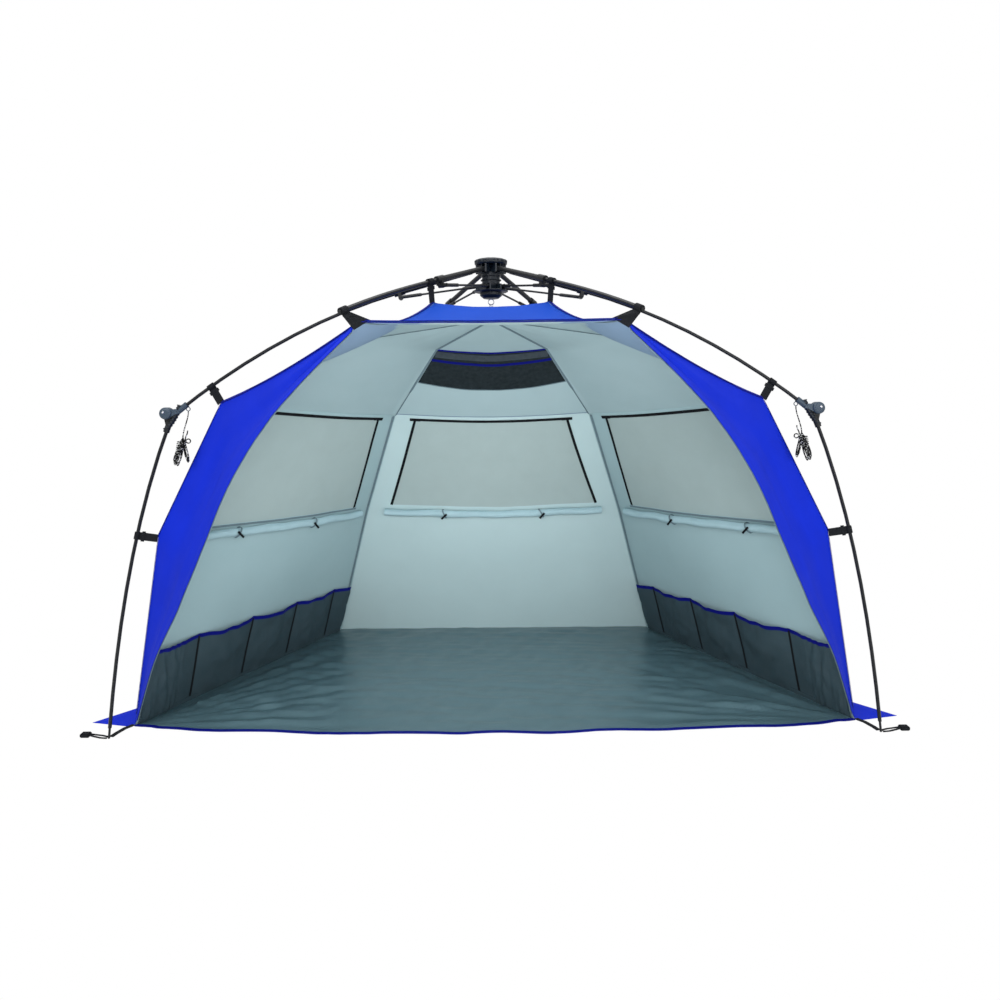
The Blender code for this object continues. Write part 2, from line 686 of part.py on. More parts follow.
def build_strap(name, arm, at, along, index, far_width, pivot):
    """A collar on the pole, a webbing to the canopy and the ladder buckle between them."""
    to = arm_matrix(arm)
    side = across_of(arm)
    seam_way = canopy_way(arm, index)
    facing = seam_way.cross(side).normalized()
    facing *= 1 if facing.dot(outward(canopy_point(arm, index))) > 0 else -1
    target = canopy_point(arm, index) + facing * STRAP_END_GAP
    center = to @ at
    direction = (to.to_3x3() @ along).normalized()
    inner_r = (POLE_R + GAP) / math.cos(math.pi / 12)
    outer_r = POLE_R + COLLAR_WALL + GAP
    start = center - direction * COLLAR_L / 2
    end = center + direction * COLLAR_L / 2
    collar = rod("collar", start, end, outer_r, side, 12)
    line = target - center
    run = (line - direction * line.dot(direction)).normalized()
    first = center + run * (outer_r - COLLAR_WALL * 0.6)
    thick = line.cross(direction).normalized() * WEB_T / 2
    wide = direction * WEB_W / 2
    far = seam_way.normalized() * far_width / 2
    far *= 1 if far.dot(direction) > 0 else -1
    far_thick = facing.cross(far).normalized() * WEB_T / 2
    far_thick *= 1 if far_thick.dot(thick) > 0 else -1
    rings = []
    for at_point, half, deep in ((first, wide, thick), (target, far, far_thick)):
        rings.append([at_point + half + deep, at_point - half + deep, at_point - half - deep,
                      at_point + half - deep])
    web = rings_to_object("web", rings)
    mid = first.lerp(target, min(0.5, BUCKLE_L * 1.2 / (target - first).length))
    step = (target - first).normalized() * BUCKLE_L / 2
    buckle = bar("buckle", mid - step, mid + step, direction * BUCKLE_W / 2,
                 thick.normalized() * BUCKLE_T / 2)
    bore = rod("bore", center - direction * COLLAR_L, center + direction * COLLAR_L, inner_r, side, 12)
    strap = cut(join(collar, web, buckle), bore)
    finish(strap, name, material("webbing", BLACK, 0.75), pivot, ARMS[arm])


def canopy_point(arm, index):
    """The canopy corner under an arm: 0 at the floor, counting up."""
    kind = kind_of(arm)
    seam = {"side": SIDE_SEAM_SHARES, "rear": REAR_SEAM_SHARES, "front": FRONT_SEAM_SHARES}[kind]
    point = plan(seam[index])
    if index == 1 and kind != "front":
        point = side_wall(0 if kind == "side" else 1, WALL_ROW_SHARES[WINDOW_ROWS[0]])
    if arm.endswith("left"):
        point = mirror(point)
    return point


def canopy_way(arm, index):
    """The way that the seam runs at a corner, between its two sides."""
    here = canopy_point(arm, index)
    if kind_of(arm) == "front":
        above = canopy_point(arm, 1) if index == 0 else plan(PEAK_SHARES)
        below = plan(DOOR_EDGE_SHARES[1]) if index == 0 else canopy_point(arm, 0)
        if index == 0 and arm.endswith("left"):
            below = mirror(below)
    else:
        above = canopy_point(arm, index + 1)
        below = canopy_point(arm, index - 1)
    return (above - here).normalized() + (here - below).normalized()


def build_straps(arm):
    kind = kind_of(arm)
    to = arm_matrix(arm)
    hub_pivot = to @ HUB_PIVOT
    path = upper_path(kind)
    if kind == "front":
        reach = RIB_STRAP_SHARE * FOOT_RADIUS
        at, along = point_at(path, lambda p: p.x - reach)
        build_strap("rib_strap_" + arm, arm, at, along, 1, WEB_W, hub_pivot)
        last = (path[-1] - path[-2]).normalized()
        build_strap("beam_strap_" + arm, arm, path[-1] - last * COLLAR_L * 0.7, last,
                    0, BEAM_WEB_W, hub_pivot)
        return
    reach = UPPER_STRAP_SHARES[kind] * FOOT_RADIUS
    at, along = point_at(path, lambda p: p.x - reach)
    build_strap("upper_strap_" + arm, arm, at, along, 2, WEB_W, hub_pivot)
    leg, _ = lower_path(kind)
    target = canopy_point(arm, 1)
    level = target.z + (BUCKLE_L if kind == "side" else BUCKLE_L * 2)
    at, along = point_at(leg, lambda p: p.z - level)
    build_strap("lower_strap_" + arm, arm, at, along, 1, WEB_W, to @ knee_pivot(kind))


def build_tape(arm):
    """The webbing on the ground, from the floor's corner past the eyelet that holds the pole's tip."""
    kind = kind_of(arm)
    corner = canopy_point(arm, 0)
    foot = world(arm, Vector((FOOT_SHARES[kind] * FOOT_RADIUS, 0, 0)))
    corner.z = foot.z = 0
    along = (foot - corner).normalized()
    across = Vector((-along.y, along.x, 0)) * TAPE_W / 2
    start = corner + along * TAPE_STARTS[kind]
    end = foot + along * TAPE_TAIL
    flat = [start + across, start - across, end - across * 0.8, end + across * 0.8]
    tape = rings_to_object("tape", [flat, [p + Vector((0, 0, TAPE_T)) for p in flat]])
    lift = Vector((0, 0, TAPE_T))
    hole = rod("hole", foot - lift, foot + lift * 2, EYELET_R, (1, 0, 0), 14)
    finish(cut(tape, hole), "foot_tape_" + arm, material("webbing", BLACK, 0.75))


# Canopy.


def outward(p):
    """The direction in which the canopy's sheets take their thickness."""
    return (p - plan(FOCUS_SHARES)).normalized()


def sheet(name, points, faces, mat, thickness=SHEET_T, inset=SEAM_INSET):
    """A thin closed body under a net of points, drawn in a little at its edges."""
    edges = {}
    used = sorted({i for face in faces for i in face})
    for face in faces:
        middle = sum((points[i] for i in face), Vector()) / len(face)
        for i, j in zip(face, face[1:] + face[:1]):
            edges.setdefault(frozenset((i, j)), []).append((i, j, middle))
    rim = [sides[0] for sides in edges.values() if len(sides) == 1]
    inward = {}
    for i, j, middle in rim:
        way = (points[j] - points[i]).normalized()
        pull = middle - points[i]
        pull = (pull - way * pull.dot(way)).normalized()
        inward.setdefault(i, []).append(pull)
        inward.setdefault(j, []).append(pull)
    place = {}
    for i in used:
        place[i] = points[i].copy()
        if i in inward:
            a, b = inward[i][0], inward[i][-1]
            place[i] += (a + b) * (inset / max(MITRE_LIMIT, 1 + a.dot(b)))
    bm = bmesh.new()
    top = {i: bm.verts.new(place[i]) for i in used}
    low = {i: bm.verts.new(place[i] - outward(points[i]) * thickness) for i in used}
    for face in faces:
        bm.faces.new([top[i] for i in face])
        bm.faces.new([low[i] for i in reversed(face)])
    for i, j, _ in rim:
        bm.faces.new((top[j], top[i], low[i], low[j]))
    bmesh.ops.triangulate(bm, faces=bm.faces)
    return finish(mesh_object(name, bm), name, mat)


def grid_faces(rows, columns, skip=None):
    faces = []
    for r in range(rows - 1):
        for c in range(columns - 1):
            if skip is None or not skip(r, c):
                a = r * columns + c
                faces.append([a, a + 1, a + columns + 1, a + columns])
    return faces


def seam_point(seam, level):
    """A place on a wall seam at a share of that seam's wall height."""
    top = seam[2][2]
    z = level * top
    for low, high in ((seam[0], seam[1]), (seam[1], seam[2])):
        if z <= high[2] or high is seam[2]:
            share = (z - low[2]) / (high[2] - low[2])
            point = plan(low).lerp(plan(high), share)
            return point
    return plan(seam[2])


def wall_point(left, right, u, v):
    """A place on a wall between two seams, with the sag of hung cloth."""
    p = seam_point(left, v).lerp(seam_point(right, v), u) if right else None
    edge = 4 * u * (1 - u) * v * v * EDGE_SAG
    belly = math.sin(math.pi * u) * math.sin(math.pi * v) * WALL_SAG
    p = p - outward(p) * (edge + belly)
    p.z += (FLOOR_T + WALL_LIFT) * (1 - v)
    return p


def side_wall(u, v):
    return wall_point(SIDE_SEAM_SHARES, REAR_SEAM_SHARES, u, v)


def rear_wall(u, v):
    left = tuple((-x, y, z) for x, y, z in REAR_SEAM_SHARES)
    return wall_point(REAR_SEAM_SHARES, left, u, v)


def normal_of(surface, u, v):
    step = 0.01
    a = surface(u + step, v) - surface(u - step, v)
    b = surface(u, v + step) - surface(u, v - step)
    n = a.cross(b).normalized()
    if n.dot(outward(surface(u, v))) < 0:
        n = -n
    return n


def build_wall(name, window_name, surface, columns, window_columns, flip):
    points = [surface(u, v) for v in WALL_ROW_SHARES for u in columns]
    if flip:
        points = [mirror(p) for p in points]

    def in_window(r, c):
        return WINDOW_ROWS[0] <= r < WINDOW_ROWS[1] and window_columns[0] <= c < window_columns[1]

    rows, count = len(WALL_ROW_SHARES), len(columns)
    sheet(name, points, grid_faces(rows, count, in_window), material("canopy blue", BLUE, 0.6))
    mesh_faces = grid_faces(rows, count, lambda r, c: not in_window(r, c))
    sheet(window_name, points, mesh_faces, material("window mesh", MESH_GREY, 0.8), MESH_T)


def side_sector_columns():
    return SIDE_COLUMN_SHARES


def roof_corner(name, ring):
    """The roof's corners: ring 1 is the flat top, ring 2 the eaves."""
    side = SIDE_SEAM_SHARES
    rear = REAR_SEAM_SHARES
    front = FRONT_SEAM_SHARES
    table = {"side": (side[3], side[2]), "rear": (rear[3], rear[2]), "front": (front[1], front[0])}
    point = plan(table[kind_of(name)][ring - 1])
    return mirror(point) if name.endswith("left") else point


def roof_point(first, second, t, ring_share, lower):
    """A place on one roof sector; lower is the share from the flat top to the eaves."""
    if lower <= 0:
        peak = plan(PEAK_SHARES)
        a = peak.lerp(roof_corner(first, 1), ring_share)
        b = peak.lerp(roof_corner(second, 1), ring_share)
        p = a.lerp(b, t)
        return p - Vector((0, 0, ROOF_SAG * math.sin(math.pi * t) * ring_share))
    a = roof_corner(first, 1).lerp(roof_corner(first, 2), lower)
    b = roof_corner(second, 1).lerp(roof_corner(second, 2), lower)
    p = a.lerp(b, t)
    top = ROOF_SAG * math.sin(math.pi * t) * (1 - lower)
    edge = 4 * t * (1 - t) * EDGE_SAG * lower
    return p - Vector((0, 0, top)) - outward(p) * edge


ROOF_ORDER = ("front_right", "side_right", "rear_right", "rear_left", "side_left", "front_left")


def sector_columns(first, second):
    """Column shares from first to second, the same as on the wall below them."""
    if kind_of(first) == "side" and kind_of(second) == "rear":
        return SIDE_COLUMN_SHARES
    if kind_of(first) == "rear" and kind_of(second) == "side":
        return tuple(1 - u for u in reversed(SIDE_COLUMN_SHARES))
    return EVEN_COLUMN_SHARES


def build_roof():
    ring_rows = [(share, 0.0) for share in TOP_ROW_SHARES] + [(1.0, share) for share in SLOPE_ROW_SHARES]
    points = [plan(PEAK_SHARES)]
    sectors = []
    for k, first in enumerate(ROOF_ORDER):
        second = ROOF_ORDER[(k + 1) % len(ROOF_ORDER)]
        for t in sector_columns(first, second)[:-1]:
            sectors.append((first, second, t))
    count = len(sectors)
    for ring_share, lower in ring_rows:
        for first, second, t in sectors:
            points.append(roof_point(first, second, t, ring_share, lower))
    faces = []
    vent_faces = []
    first_slope = len(TOP_ROW_SHARES) - 1
    for c in range(count):
        d = (c + 1) % count
        faces.append([0, 1 + c, 1 + d])
        first, second, t = sectors[c]
        for r in range(len(ring_rows) - 1):
            a = 1 + r * count
            face = [a + c, a + count + c, a + count + d, a + d]
            rear = kind_of(first) == "rear" and kind_of(second) == "rear"
            inside = rear and EVEN_COLUMN_SHARES[0] < t < EVEN_COLUMN_SHARES[-2]
            if inside and first_slope <= r < first_slope + 2:
                vent_faces.append(face)
            else:
                faces.append(face)
    sheet("roof", points, faces, material("roof blue", ROOF_BLUE, 0.55))
    sheet("roof_vent", points, vent_faces, material("vent mesh", MESH_BLACK, 0.8), MESH_T)


def door_edge(share):
    """A place on the door's curved edge."""
    spots = [plan(s) for s in DOOR_EDGE_SHARES]
    place = share * (len(spots) - 1)
    k = min(int(place), len(spots) - 2)
    return spots[k].lerp(spots[k + 1], place - k)


WING_CROSS_SHARES = (0.0, 0.28, 0.62, 1.0)


def build_wing(name, flip):
    """The front panel between a side seam and the door's edge."""
    rim = [roof_point("front_right", "side_right", t, 1.0, 1.0) for t in EVEN_COLUMN_SHARES]
    rim += [side_wall(0, v) for v in reversed(WALL_ROW_SHARES[:-1])]
    lengths = [0.0]
    for a, b in zip(rim, rim[1:]):
        lengths.append(lengths[-1] + (b - a).length)
    inner = [door_edge(d / lengths[-1]) for d in lengths]
    inner[0] = rim[0].copy()
    inner[-1] = rim[-1].copy()
    columns = len(WING_CROSS_SHARES)
    points = []
    for a, b in zip(rim[1:-1], inner[1:-1]):
        for w in WING_CROSS_SHARES:
            p = a.lerp(b, w)
            points.append(p - outward(p) * math.sin(math.pi * w) * EDGE_SAG)
    faces = grid_faces(len(rim) - 2, columns)
    points += [rim[0], rim[-1]]
    top, bottom = len(points) - 2, len(points) - 1
    last = (len(rim) - 3) * columns
    for c in range(columns - 1):
        faces.append([top, c + 1, c])
        faces.append([bottom, last + c, last + c + 1])
    if flip:
        points = [mirror(p) for p in points]
    sheet(name, points, faces, material("canopy blue", BLUE, 0.6))


def build_floor():
    """The floor, its bowed front edge and a flap at each front corner."""
    front = plan(SIDE_SEAM_SHARES[0])
    rear = plan(REAR_SEAM_SHARES[0])
    along = (rear - front).normalized()
    out = Vector((along.y, -along.x, 0)) * FLOOR_MARGIN
    tip = Vector((FLAP_TIP_SHARES[0] * FOOT_RADIUS, FLAP_TIP_SHARES[1] * FOOT_RADIUS - HUB_SETBACK, 0))
    back = front.lerp(rear, FLAP_BACK_SHARE) + out
    corner = front - along * FLOOR_MARGIN * 2
    right = [corner, corner.lerp(tip, 0.5), tip, back]
    right.append(rear + out + Vector((0, FLOOR_MARGIN, 0)))
    left = [mirror(p) for p in reversed(right)]
    bow = []
    steps = 10
    for k in range(1, steps):
        share = k / steps
        p = mirror(corner).lerp(corner, share)
        p.y -= FRONT_BOW * math.sin(math.pi * share) ** 0.6
        bow.append(p)
    outline = [Vector((p.x, p.y, 0)) for p in right + left + bow]
    bm = bmesh.new()
    base = bm.faces.new([bm.verts.new(p) for p in outline])
    made = bmesh.ops.extrude_face_region(bm, geom=[base])
    lifted = [v for v in made["geom"] if isinstance(v, bmesh.types.BMVert)]
    bmesh.ops.translate(bm, verts=lifted, vec=(0, 0, FLOOR_T))
    bmesh.ops.triangulate(bm, faces=bm.faces)
    finish(mesh_object("floor", bm), "floor", material("floor sheet", SLATE, 0.45))


def build_pocket(name, flip):
    """The storage pockets: a band standing off the side wall between its stitched lines."""
    span = WALL_ROW_SHARES[2]
    rows = (0.04, 0.35, 0.7, 1.0)
    points = []
    for r in rows:
        for k in range(POCKET_STEPS + 1):
            u = POCKET_EDGE_SHARE + (1 - 2 * POCKET_EDGE_SHARE) * k / POCKET_STEPS
            v = span * r
            belly = abs(math.sin(POCKET_COUNT * math.pi * k / POCKET_STEPS))
            belly *= math.sin(math.pi * (r * 0.6 + 0.1))
            off = SHEET_T + 2 * GAP + POCKET_BULGE * belly
            p = wall_flat(u, v) - normal_of(wall_flat, u, v) * off
            points.append(mirror(p) if flip else p)
    faces = grid_faces(len(rows), POCKET_STEPS + 1)
    sheet(name, points, faces, material("pocket cloth", CHARCOAL, 0.8), POCKET_T)


def wall_flat(u, v):
    """The side wall as its facets lie, between the rows and columns of its net."""
    columns, rows = SIDE_COLUMN_SHARES, WALL_ROW_SHARES
    u = min(max(u, 0.0), 1.0)
    v = min(max(v, 0.0), 1.0)
    c = max(i for i in range(len(columns) - 1) if columns[i] <= u)
    r = max(i for i in range(len(rows) - 1) if rows[i] <= v)
    s = (u - columns[c]) / (columns[c + 1] - columns[c])
    t = (v - rows[r]) / (rows[r + 1] - rows[r])
    low = side_wall(columns[c], rows[r]).lerp(side_wall(columns[c + 1], rows[r]), s)
    high = side_wall(columns[c], rows[r + 1]).lerp(side_wall(columns[c + 1], rows[r + 1]), s)
    return low.lerp(high, t)


def build_roll(name, surface, kind, flip):
    """A window cover rolled up along the foot of its window."""
    path = []
    shares = ROLL_SHARES[kind]
    for k in range(ROLL_STEPS + 1):
        u = shares[0] + (shares[1] - shares[0]) * k / ROLL_STEPS
        p = surface(u, ROLL_ROW_SHARE)
        p = p - normal_of(surface, u, ROLL_ROW_SHARE) * (SHEET_T + ROLL_R + ROLL_GAPS[kind])
        path.append(mirror(p) if flip else p)
    radii = [ROLL_R] * len(path)
    roll = tube(name, path, radii, (0, 0, 1), 10)
    finish(roll, name, material("cover cloth", GREY, 0.7))


# Guy lines.


def guy_ring_center(arm):
    elbow = elbow_point("side")
    up = -slope(ELBOW_SLOPE_DEG)
    inner = slope(ELBOW_SLOPE_DEG + 90)
    return world(arm, elbow + up * (KNEE_UP_L - GUY_RING_R) + inner * (KNEE_SLEEVE_R + GUY_RING_R * 0.75))


def curve_object(name, points, resolution, mat, pivot, turn):
    data = bpy.data.curves.new(name, "CURVE")
    data.dimensions = "3D"
    data.bevel_depth = CORD_R
    data.bevel_resolution = resolution
    data.use_fill_caps = True
    spline = data.splines.new("POLY")
    place = Matrix.Translation(pivot) @ Matrix.Rotation(math.radians(turn), 4, "Z")
    back = place.inverted()
    spline.points.add(len(points) - 1)
    for spot, p in zip(spline.points, points):
        spot.co = (*(back @ p), 1.0)
    data.materials.append(mat)
    obj = bpy.data.objects.new(name, data)
    bpy.context.scene.collection.objects.link(obj)
    obj.matrix_world = place
    return obj


def hank_points(top, inward):
    """One unbroken run of loops, drawn in at the waist and stepping across the bundle."""
    across = Vector((0, 1, 0))
    steps = HANK_LOOPS * HANK_POINTS
    depth = HANK_PITCH * HANK_LOOPS
    points = []
    for k in range(steps + 1):
        turn = 2 * math.pi * k / HANK_POINTS
        z = HANK_H * math.cos(turn)
        waist = 1 - HANK_WAIST_SHARE * (1 - abs(z) / HANK_H)
        x = HANK_W * math.sin(turn) * waist
        y = HANK_PITCH * k / HANK_POINTS - depth / 2
        points.append(top + Vector((0, 0, z - HANK_H)) + inward * x + across * y)
    return points


def least_gap(points):
    """The least clear distance between loops of a tube through these points."""
    least = FOOT_RADIUS
    window = HANK_POINTS // 2
    for i in range(len(points)):
        for j in range(i + window, len(points) - 1):
            a, b = points[j], points[j + 1]
            line = b - a
            share = max(0.0, min(1.0, (points[i] - a).dot(line) / line.length_squared))
            least = min(least, (points[i] - (a + line * share)).length)
    return least - 2 * CORD_R


def build_guy(arm):
    side_sign = -1 if arm.endswith("left") else 1
    inward = Vector((-side_sign, 0, 0))
    ring = guy_ring_center(arm)
    start = ring - Vector((0, 0, GUY_RING_R + GUY_RING_WIRE + GAP))
    depth = HANK_PITCH * HANK_LOOPS
    end = start - Vector((0, 0, GUY_DROP)) + inward * CORD_SWAY - Vector((0, depth / 2 + HANK_FORWARD, 0))
    cord = bezier(start, start - Vector((0, 0, GUY_DROP / 3)), end + Vector((0, 0, GUY_DROP / 3)), end,
                  CORD_STEPS)
    mat = material("guy cord", BLACK, 0.7)
    pivot = world(arm, HUB_PIVOT)
    curve_object("guy_line_" + arm.split("_")[1], cord, 2, mat, pivot, ARMS[arm])
    top = end - Vector((0, 0, CORD_R + GAP)) + Vector((0, depth / 2, 0))
    loops = hank_points(top, inward)
    print("least gap in the hank, mm:", round(least_gap(loops) * 1000, 2))
    curve_object("guy_hank_" + arm.split("_")[1], loops, 1, mat, pivot, ARMS[arm])


def print_joints():
    """Prints what the record states about the joints."""
    reach = BRACKET_PIVOT - HUB_PIVOT
    turn = Matrix.Rotation(math.radians(FOLD_DEG), 3, "Y")
    folded = HUB_PIVOT + turn @ reach
    length = (BRACKET_PIVOT - RUNNER_PIVOT).length
    rise = math.sqrt(length**2 - (folded.x - RUNNER_PIVOT.x) ** 2)
    travel = RUNNER_PIVOT.z - (folded.z - rise)
    rest = math.atan2(BRACKET_PIVOT.z - RUNNER_PIVOT.z, BRACKET_PIVOT.x - RUNNER_PIVOT.x)
    strut_turn = math.degrees(math.atan2(rise, folded.x - RUNNER_PIVOT.x) - rest)
    print("runner travel", round(travel, 5), "strut turn", round(strut_turn, 3))
    for arm in ARMS:
        to = arm_matrix(arm)
        side = across_of(arm)
        print(arm, "hinge", [round(c, 5) for c in to @ HUB_PIVOT], "axis", [round(c, 5) for c in side])
        print(arm, "strut", [round(c, 5) for c in to @ RUNNER_PIVOT + side * STRUT_SIDE])
        if kind_of(arm) != "front":
            print(arm, "knee", [round(c, 5) for c in to @ knee_pivot(kind_of(arm))])


build_hub()
build_runner()
for arm_name in ARMS:
    build_arm(arm_name)
    build_strut(arm_name)
    build_straps(arm_name)
    if kind_of(arm_name) != "front":
        build_elbow(arm_name)
        build_tape(arm_name)
    if kind_of(arm_name) == "side":
        build_guy(arm_name)
build_roof()
for word, is_left in (("right", False), ("left", True)):
    build_wall("side_wall_" + word, "window_" + word, side_wall, SIDE_COLUMN_SHARES, SIDE_WINDOW_COLUMNS,
               is_left)
    build_wing("door_wing_" + word, is_left)
    build_pocket("pocket_band_" + word, is_left)
    build_roll("cover_roll_" + word, side_wall, "side", is_left)
build_wall("rear_wall", "window_rear", rear_wall, EVEN_COLUMN_SHARES, REAR_WINDOW_COLUMNS, False)
build_roll("cover_roll_rear", rear_wall, "rear", False)
build_floor()
print_joints()
print("objects", len([o for o in bpy.data.objects if o.type != "EMPTY"]))
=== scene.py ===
"""The beach tent, finished over its CAD frame and set up as in the photograph."""
import math

import bmesh
import bpy
import numpy as np
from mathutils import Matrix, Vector, noise


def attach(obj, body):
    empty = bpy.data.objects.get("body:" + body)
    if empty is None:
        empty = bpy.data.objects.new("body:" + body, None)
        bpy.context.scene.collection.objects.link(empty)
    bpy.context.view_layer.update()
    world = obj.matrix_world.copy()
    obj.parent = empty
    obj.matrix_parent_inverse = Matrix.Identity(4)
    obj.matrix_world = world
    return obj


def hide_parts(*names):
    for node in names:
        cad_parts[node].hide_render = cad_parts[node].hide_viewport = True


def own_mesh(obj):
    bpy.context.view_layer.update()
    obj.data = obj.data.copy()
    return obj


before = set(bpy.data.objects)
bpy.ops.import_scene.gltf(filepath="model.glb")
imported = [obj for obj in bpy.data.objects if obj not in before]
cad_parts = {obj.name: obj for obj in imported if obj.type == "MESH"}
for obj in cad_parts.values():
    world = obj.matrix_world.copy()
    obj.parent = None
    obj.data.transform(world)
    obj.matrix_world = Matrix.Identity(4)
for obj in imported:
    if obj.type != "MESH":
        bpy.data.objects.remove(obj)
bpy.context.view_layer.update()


# The CAD's driving sizes: foot radius, the hub's distance in front of the origin, and the frame's height.
R, SETBACK, H = 1.22, 0.59, 1.47
ROOT = "canopy_and_hub"
SIDES = (("right", False), ("left", True))
UP = Vector((0, 0, 1))


# Materials.


BUMP_DEPTH, WEAVE_DEPTH, WEAVE_SCALE = 0.004, 0.0006, 900.0


def material(name, color, rough, second, scale, bump, fine=0.0, metal=0.0, alpha=1.0, spec=0.5):
    """A soft change between two colours with its relief, and a fine weave where asked for."""
    mat = bpy.data.materials.new(name)
    mat.use_nodes = True
    nodes, links = mat.node_tree.nodes, mat.node_tree.links
    shader = nodes["Principled BSDF"]
    shader.inputs["Roughness"].default_value = rough
    shader.inputs["Metallic"].default_value = metal
    shader.inputs["Specular IOR Level"].default_value = spec
    shader.inputs["Alpha"].default_value = alpha
    coords = nodes.new("ShaderNodeTexCoord")
    big = nodes.new("ShaderNodeTexNoise")
    big.inputs["Scale"].default_value = scale
    big.inputs["Detail"].default_value = 4.0
    links.new(coords.outputs["Object"], big.inputs["Vector"])
    mix = nodes.new("ShaderNodeMix")
    mix.data_type = "RGBA"
    mix.inputs[6].default_value = (*color, 1)
    mix.inputs[7].default_value = (*second, 1)
    links.new(big.outputs["Fac"], mix.inputs[0])
    links.new(mix.outputs[2], shader.inputs["Base Color"])
    bumper = nodes.new("ShaderNodeBump")
    bumper.inputs["Strength"].default_value = bump
    bumper.inputs["Distance"].default_value = BUMP_DEPTH
    links.new(big.outputs["Fac"], bumper.inputs["Height"])
    last = bumper
    if fine:
        small = nodes.new("ShaderNodeTexNoise")
        small.inputs["Scale"].default_value = WEAVE_SCALE
        links.new(coords.outputs["Object"], small.inputs["Vector"])
        weave = nodes.new("ShaderNodeBump")
        weave.inputs["Strength"].default_value = fine
        weave.inputs["Distance"].default_value = WEAVE_DEPTH
        links.new(small.outputs["Fac"], weave.inputs["Height"])
        links.new(bumper.outputs["Normal"], weave.inputs["Normal"])
        last = weave
    links.new(last.outputs["Normal"], shader.inputs["Normal"])
    return mat


BLUE = material("cloth blue", (0.003, 0.019, 0.45), 0.70, (0.002, 0.015, 0.37), 9, 0.22, 0.25, spec=0.08)
ROOF = material("roof blue", (0.004, 0.046, 0.34), 0.70, (0.003, 0.038, 0.30), 9, 0.2, 0.25, spec=0.08)
GREY = material("lining grey", (0.36, 0.50, 0.53), 0.72, (0.32, 0.455, 0.485), 7, 0.22, 0.2, spec=0.2)
PALE = material("roof lining", (0.41, 0.54, 0.57), 0.72, (0.36, 0.49, 0.52), 7, 0.2, 0.2, spec=0.2)
# Painted light: the rear wall's lining is the same grey made lighter, for the stronger light that falls on
# the rear wall.
REAR_LINING_PAINTED_LIGHT = material("rear lining painted light", (0.48, 0.63, 0.65), 0.72, (0.44, 0.58, 0.60), 7, 0.22, 0.2, spec=0.2)
# Painted shade: the roof lining darkened and tinted blue where it lies in shade under the front corners.
PAINTED_SHADE_LINING = material("painted shade lining", (0.24, 0.35, 0.50), 0.72, (0.21, 0.31, 0.45), 7, 0.2, 0.2, spec=0.2)
MESH = material("window mesh", (0.40, 0.50, 0.50), 0.85, (0.36, 0.45, 0.45), 14, 0.1, 0.5, alpha=0.92,
                spec=0.1)
# The vent mesh's near-black is partly the black mesh and partly painted shade from the vent cover behind it.
VENT = material("vent mesh", (0.008, 0.013, 0.016), 0.85, (0.030, 0.040, 0.045), 70, 0.4, 0.5, spec=0.05)
VENT_BAND = material("vent band", (0.060, 0.075, 0.090), 0.8, (0.035, 0.045, 0.055), 60, 0.5, 0.4, spec=0.1)
FLOOR = material("floor sheet", (0.085, 0.150, 0.175), 0.30, (0.060, 0.112, 0.134), 16, 0.5, 0.2, spec=0.8)
POCKET = material("pocket cloth", (0.052, 0.080, 0.096), 0.75, (0.034, 0.064, 0.080), 22, 0.35, 0.6,
                  spec=0.15)
ROLL = material("cover cloth", (0.38, 0.54, 0.59), 0.72, (0.32, 0.47, 0.52), 25, 0.4, 0.2, spec=0.2)
SEAM = material("seam tape", (0.17, 0.24, 0.28), 0.75, (0.13, 0.19, 0.22), 60, 0.2, 0.3, spec=0.15)
NAVY = material("blue binding", (0.004, 0.007, 0.20), 0.65, (0.003, 0.005, 0.15), 60, 0.2, 0.3, spec=0.08)
BLACK = material("black webbing", (0.004, 0.005, 0.007), 0.8, (0.012, 0.013, 0.015), 180, 0.5, 0.6, spec=0.1)
POLE = material("pole black", (0.004, 0.005, 0.006), 0.40, (0.008, 0.009, 0.010), 90, 0.05, spec=0.25)
HUB = material("hub plastic", (0.003, 0.006, 0.010), 0.38, (0.006, 0.010, 0.016), 120, 0.08, spec=0.25)
ELBOW = material("elbow plastic", (0.030, 0.050, 0.075), 0.42, (0.024, 0.040, 0.060), 120, 0.08, spec=0.35)
STEEL = material("steel", (0.55, 0.56, 0.58), 0.3, (0.48, 0.49, 0.5), 150, 0.05, metal=1.0)
CORD = material("flecked cord", (0.004, 0.004, 0.005), 0.75, (0.42, 0.43, 0.42), 170, 0.5, 0.3, spec=0.1)


def flecks(mat, low, high):
    """Turns the soft change between a material's two colours into sharp flecks."""
    tree = mat.node_tree
    mix = next(n for n in tree.nodes if n.type == "MIX")
    source = mix.inputs[0].links[0].from_socket
    ramp = tree.nodes.new("ShaderNodeMapRange")
    ramp.inputs["From Min"].default_value = low
    ramp.inputs["From Max"].default_value = high
    tree.links.new(source, ramp.inputs["Value"])
    tree.links.new(ramp.outputs["Result"], mix.inputs[0])


flecks(CORD, 0.55, 0.60)

# The CAD pieces that stay, by the start of their names.
FINISH = {
    "upper_hub": HUB, "hub_cap": HUB, "runner": HUB, "peak_ring": STEEL, "upper_pole": POLE,
    "lower_leg": POLE, "strut": POLE, "elbow": ELBOW, "upper_strap": BLACK, "lower_strap": BLACK,
    "rib_strap": BLACK, "beam_strap": BLACK, "foot_tape": BLACK,
}
for name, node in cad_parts.items():
    for start, mat in FINISH.items():
        if name.startswith(start):
            node.data.materials.clear()
            node.data.materials.append(mat)


# The canopy's lines, in shares of the driving sizes. They are the CAD's, but for the front edge and the
# door, which were moved a little to follow the photograph. Every panel below follows them.


def plan(x, y, z):
    """A place given in shares of the foot radius and of the height."""
    return Vector((x * R, y * R - SETBACK, z * H))


def mirrored(p):
    return Vector((-p.x, p.y, p.z))


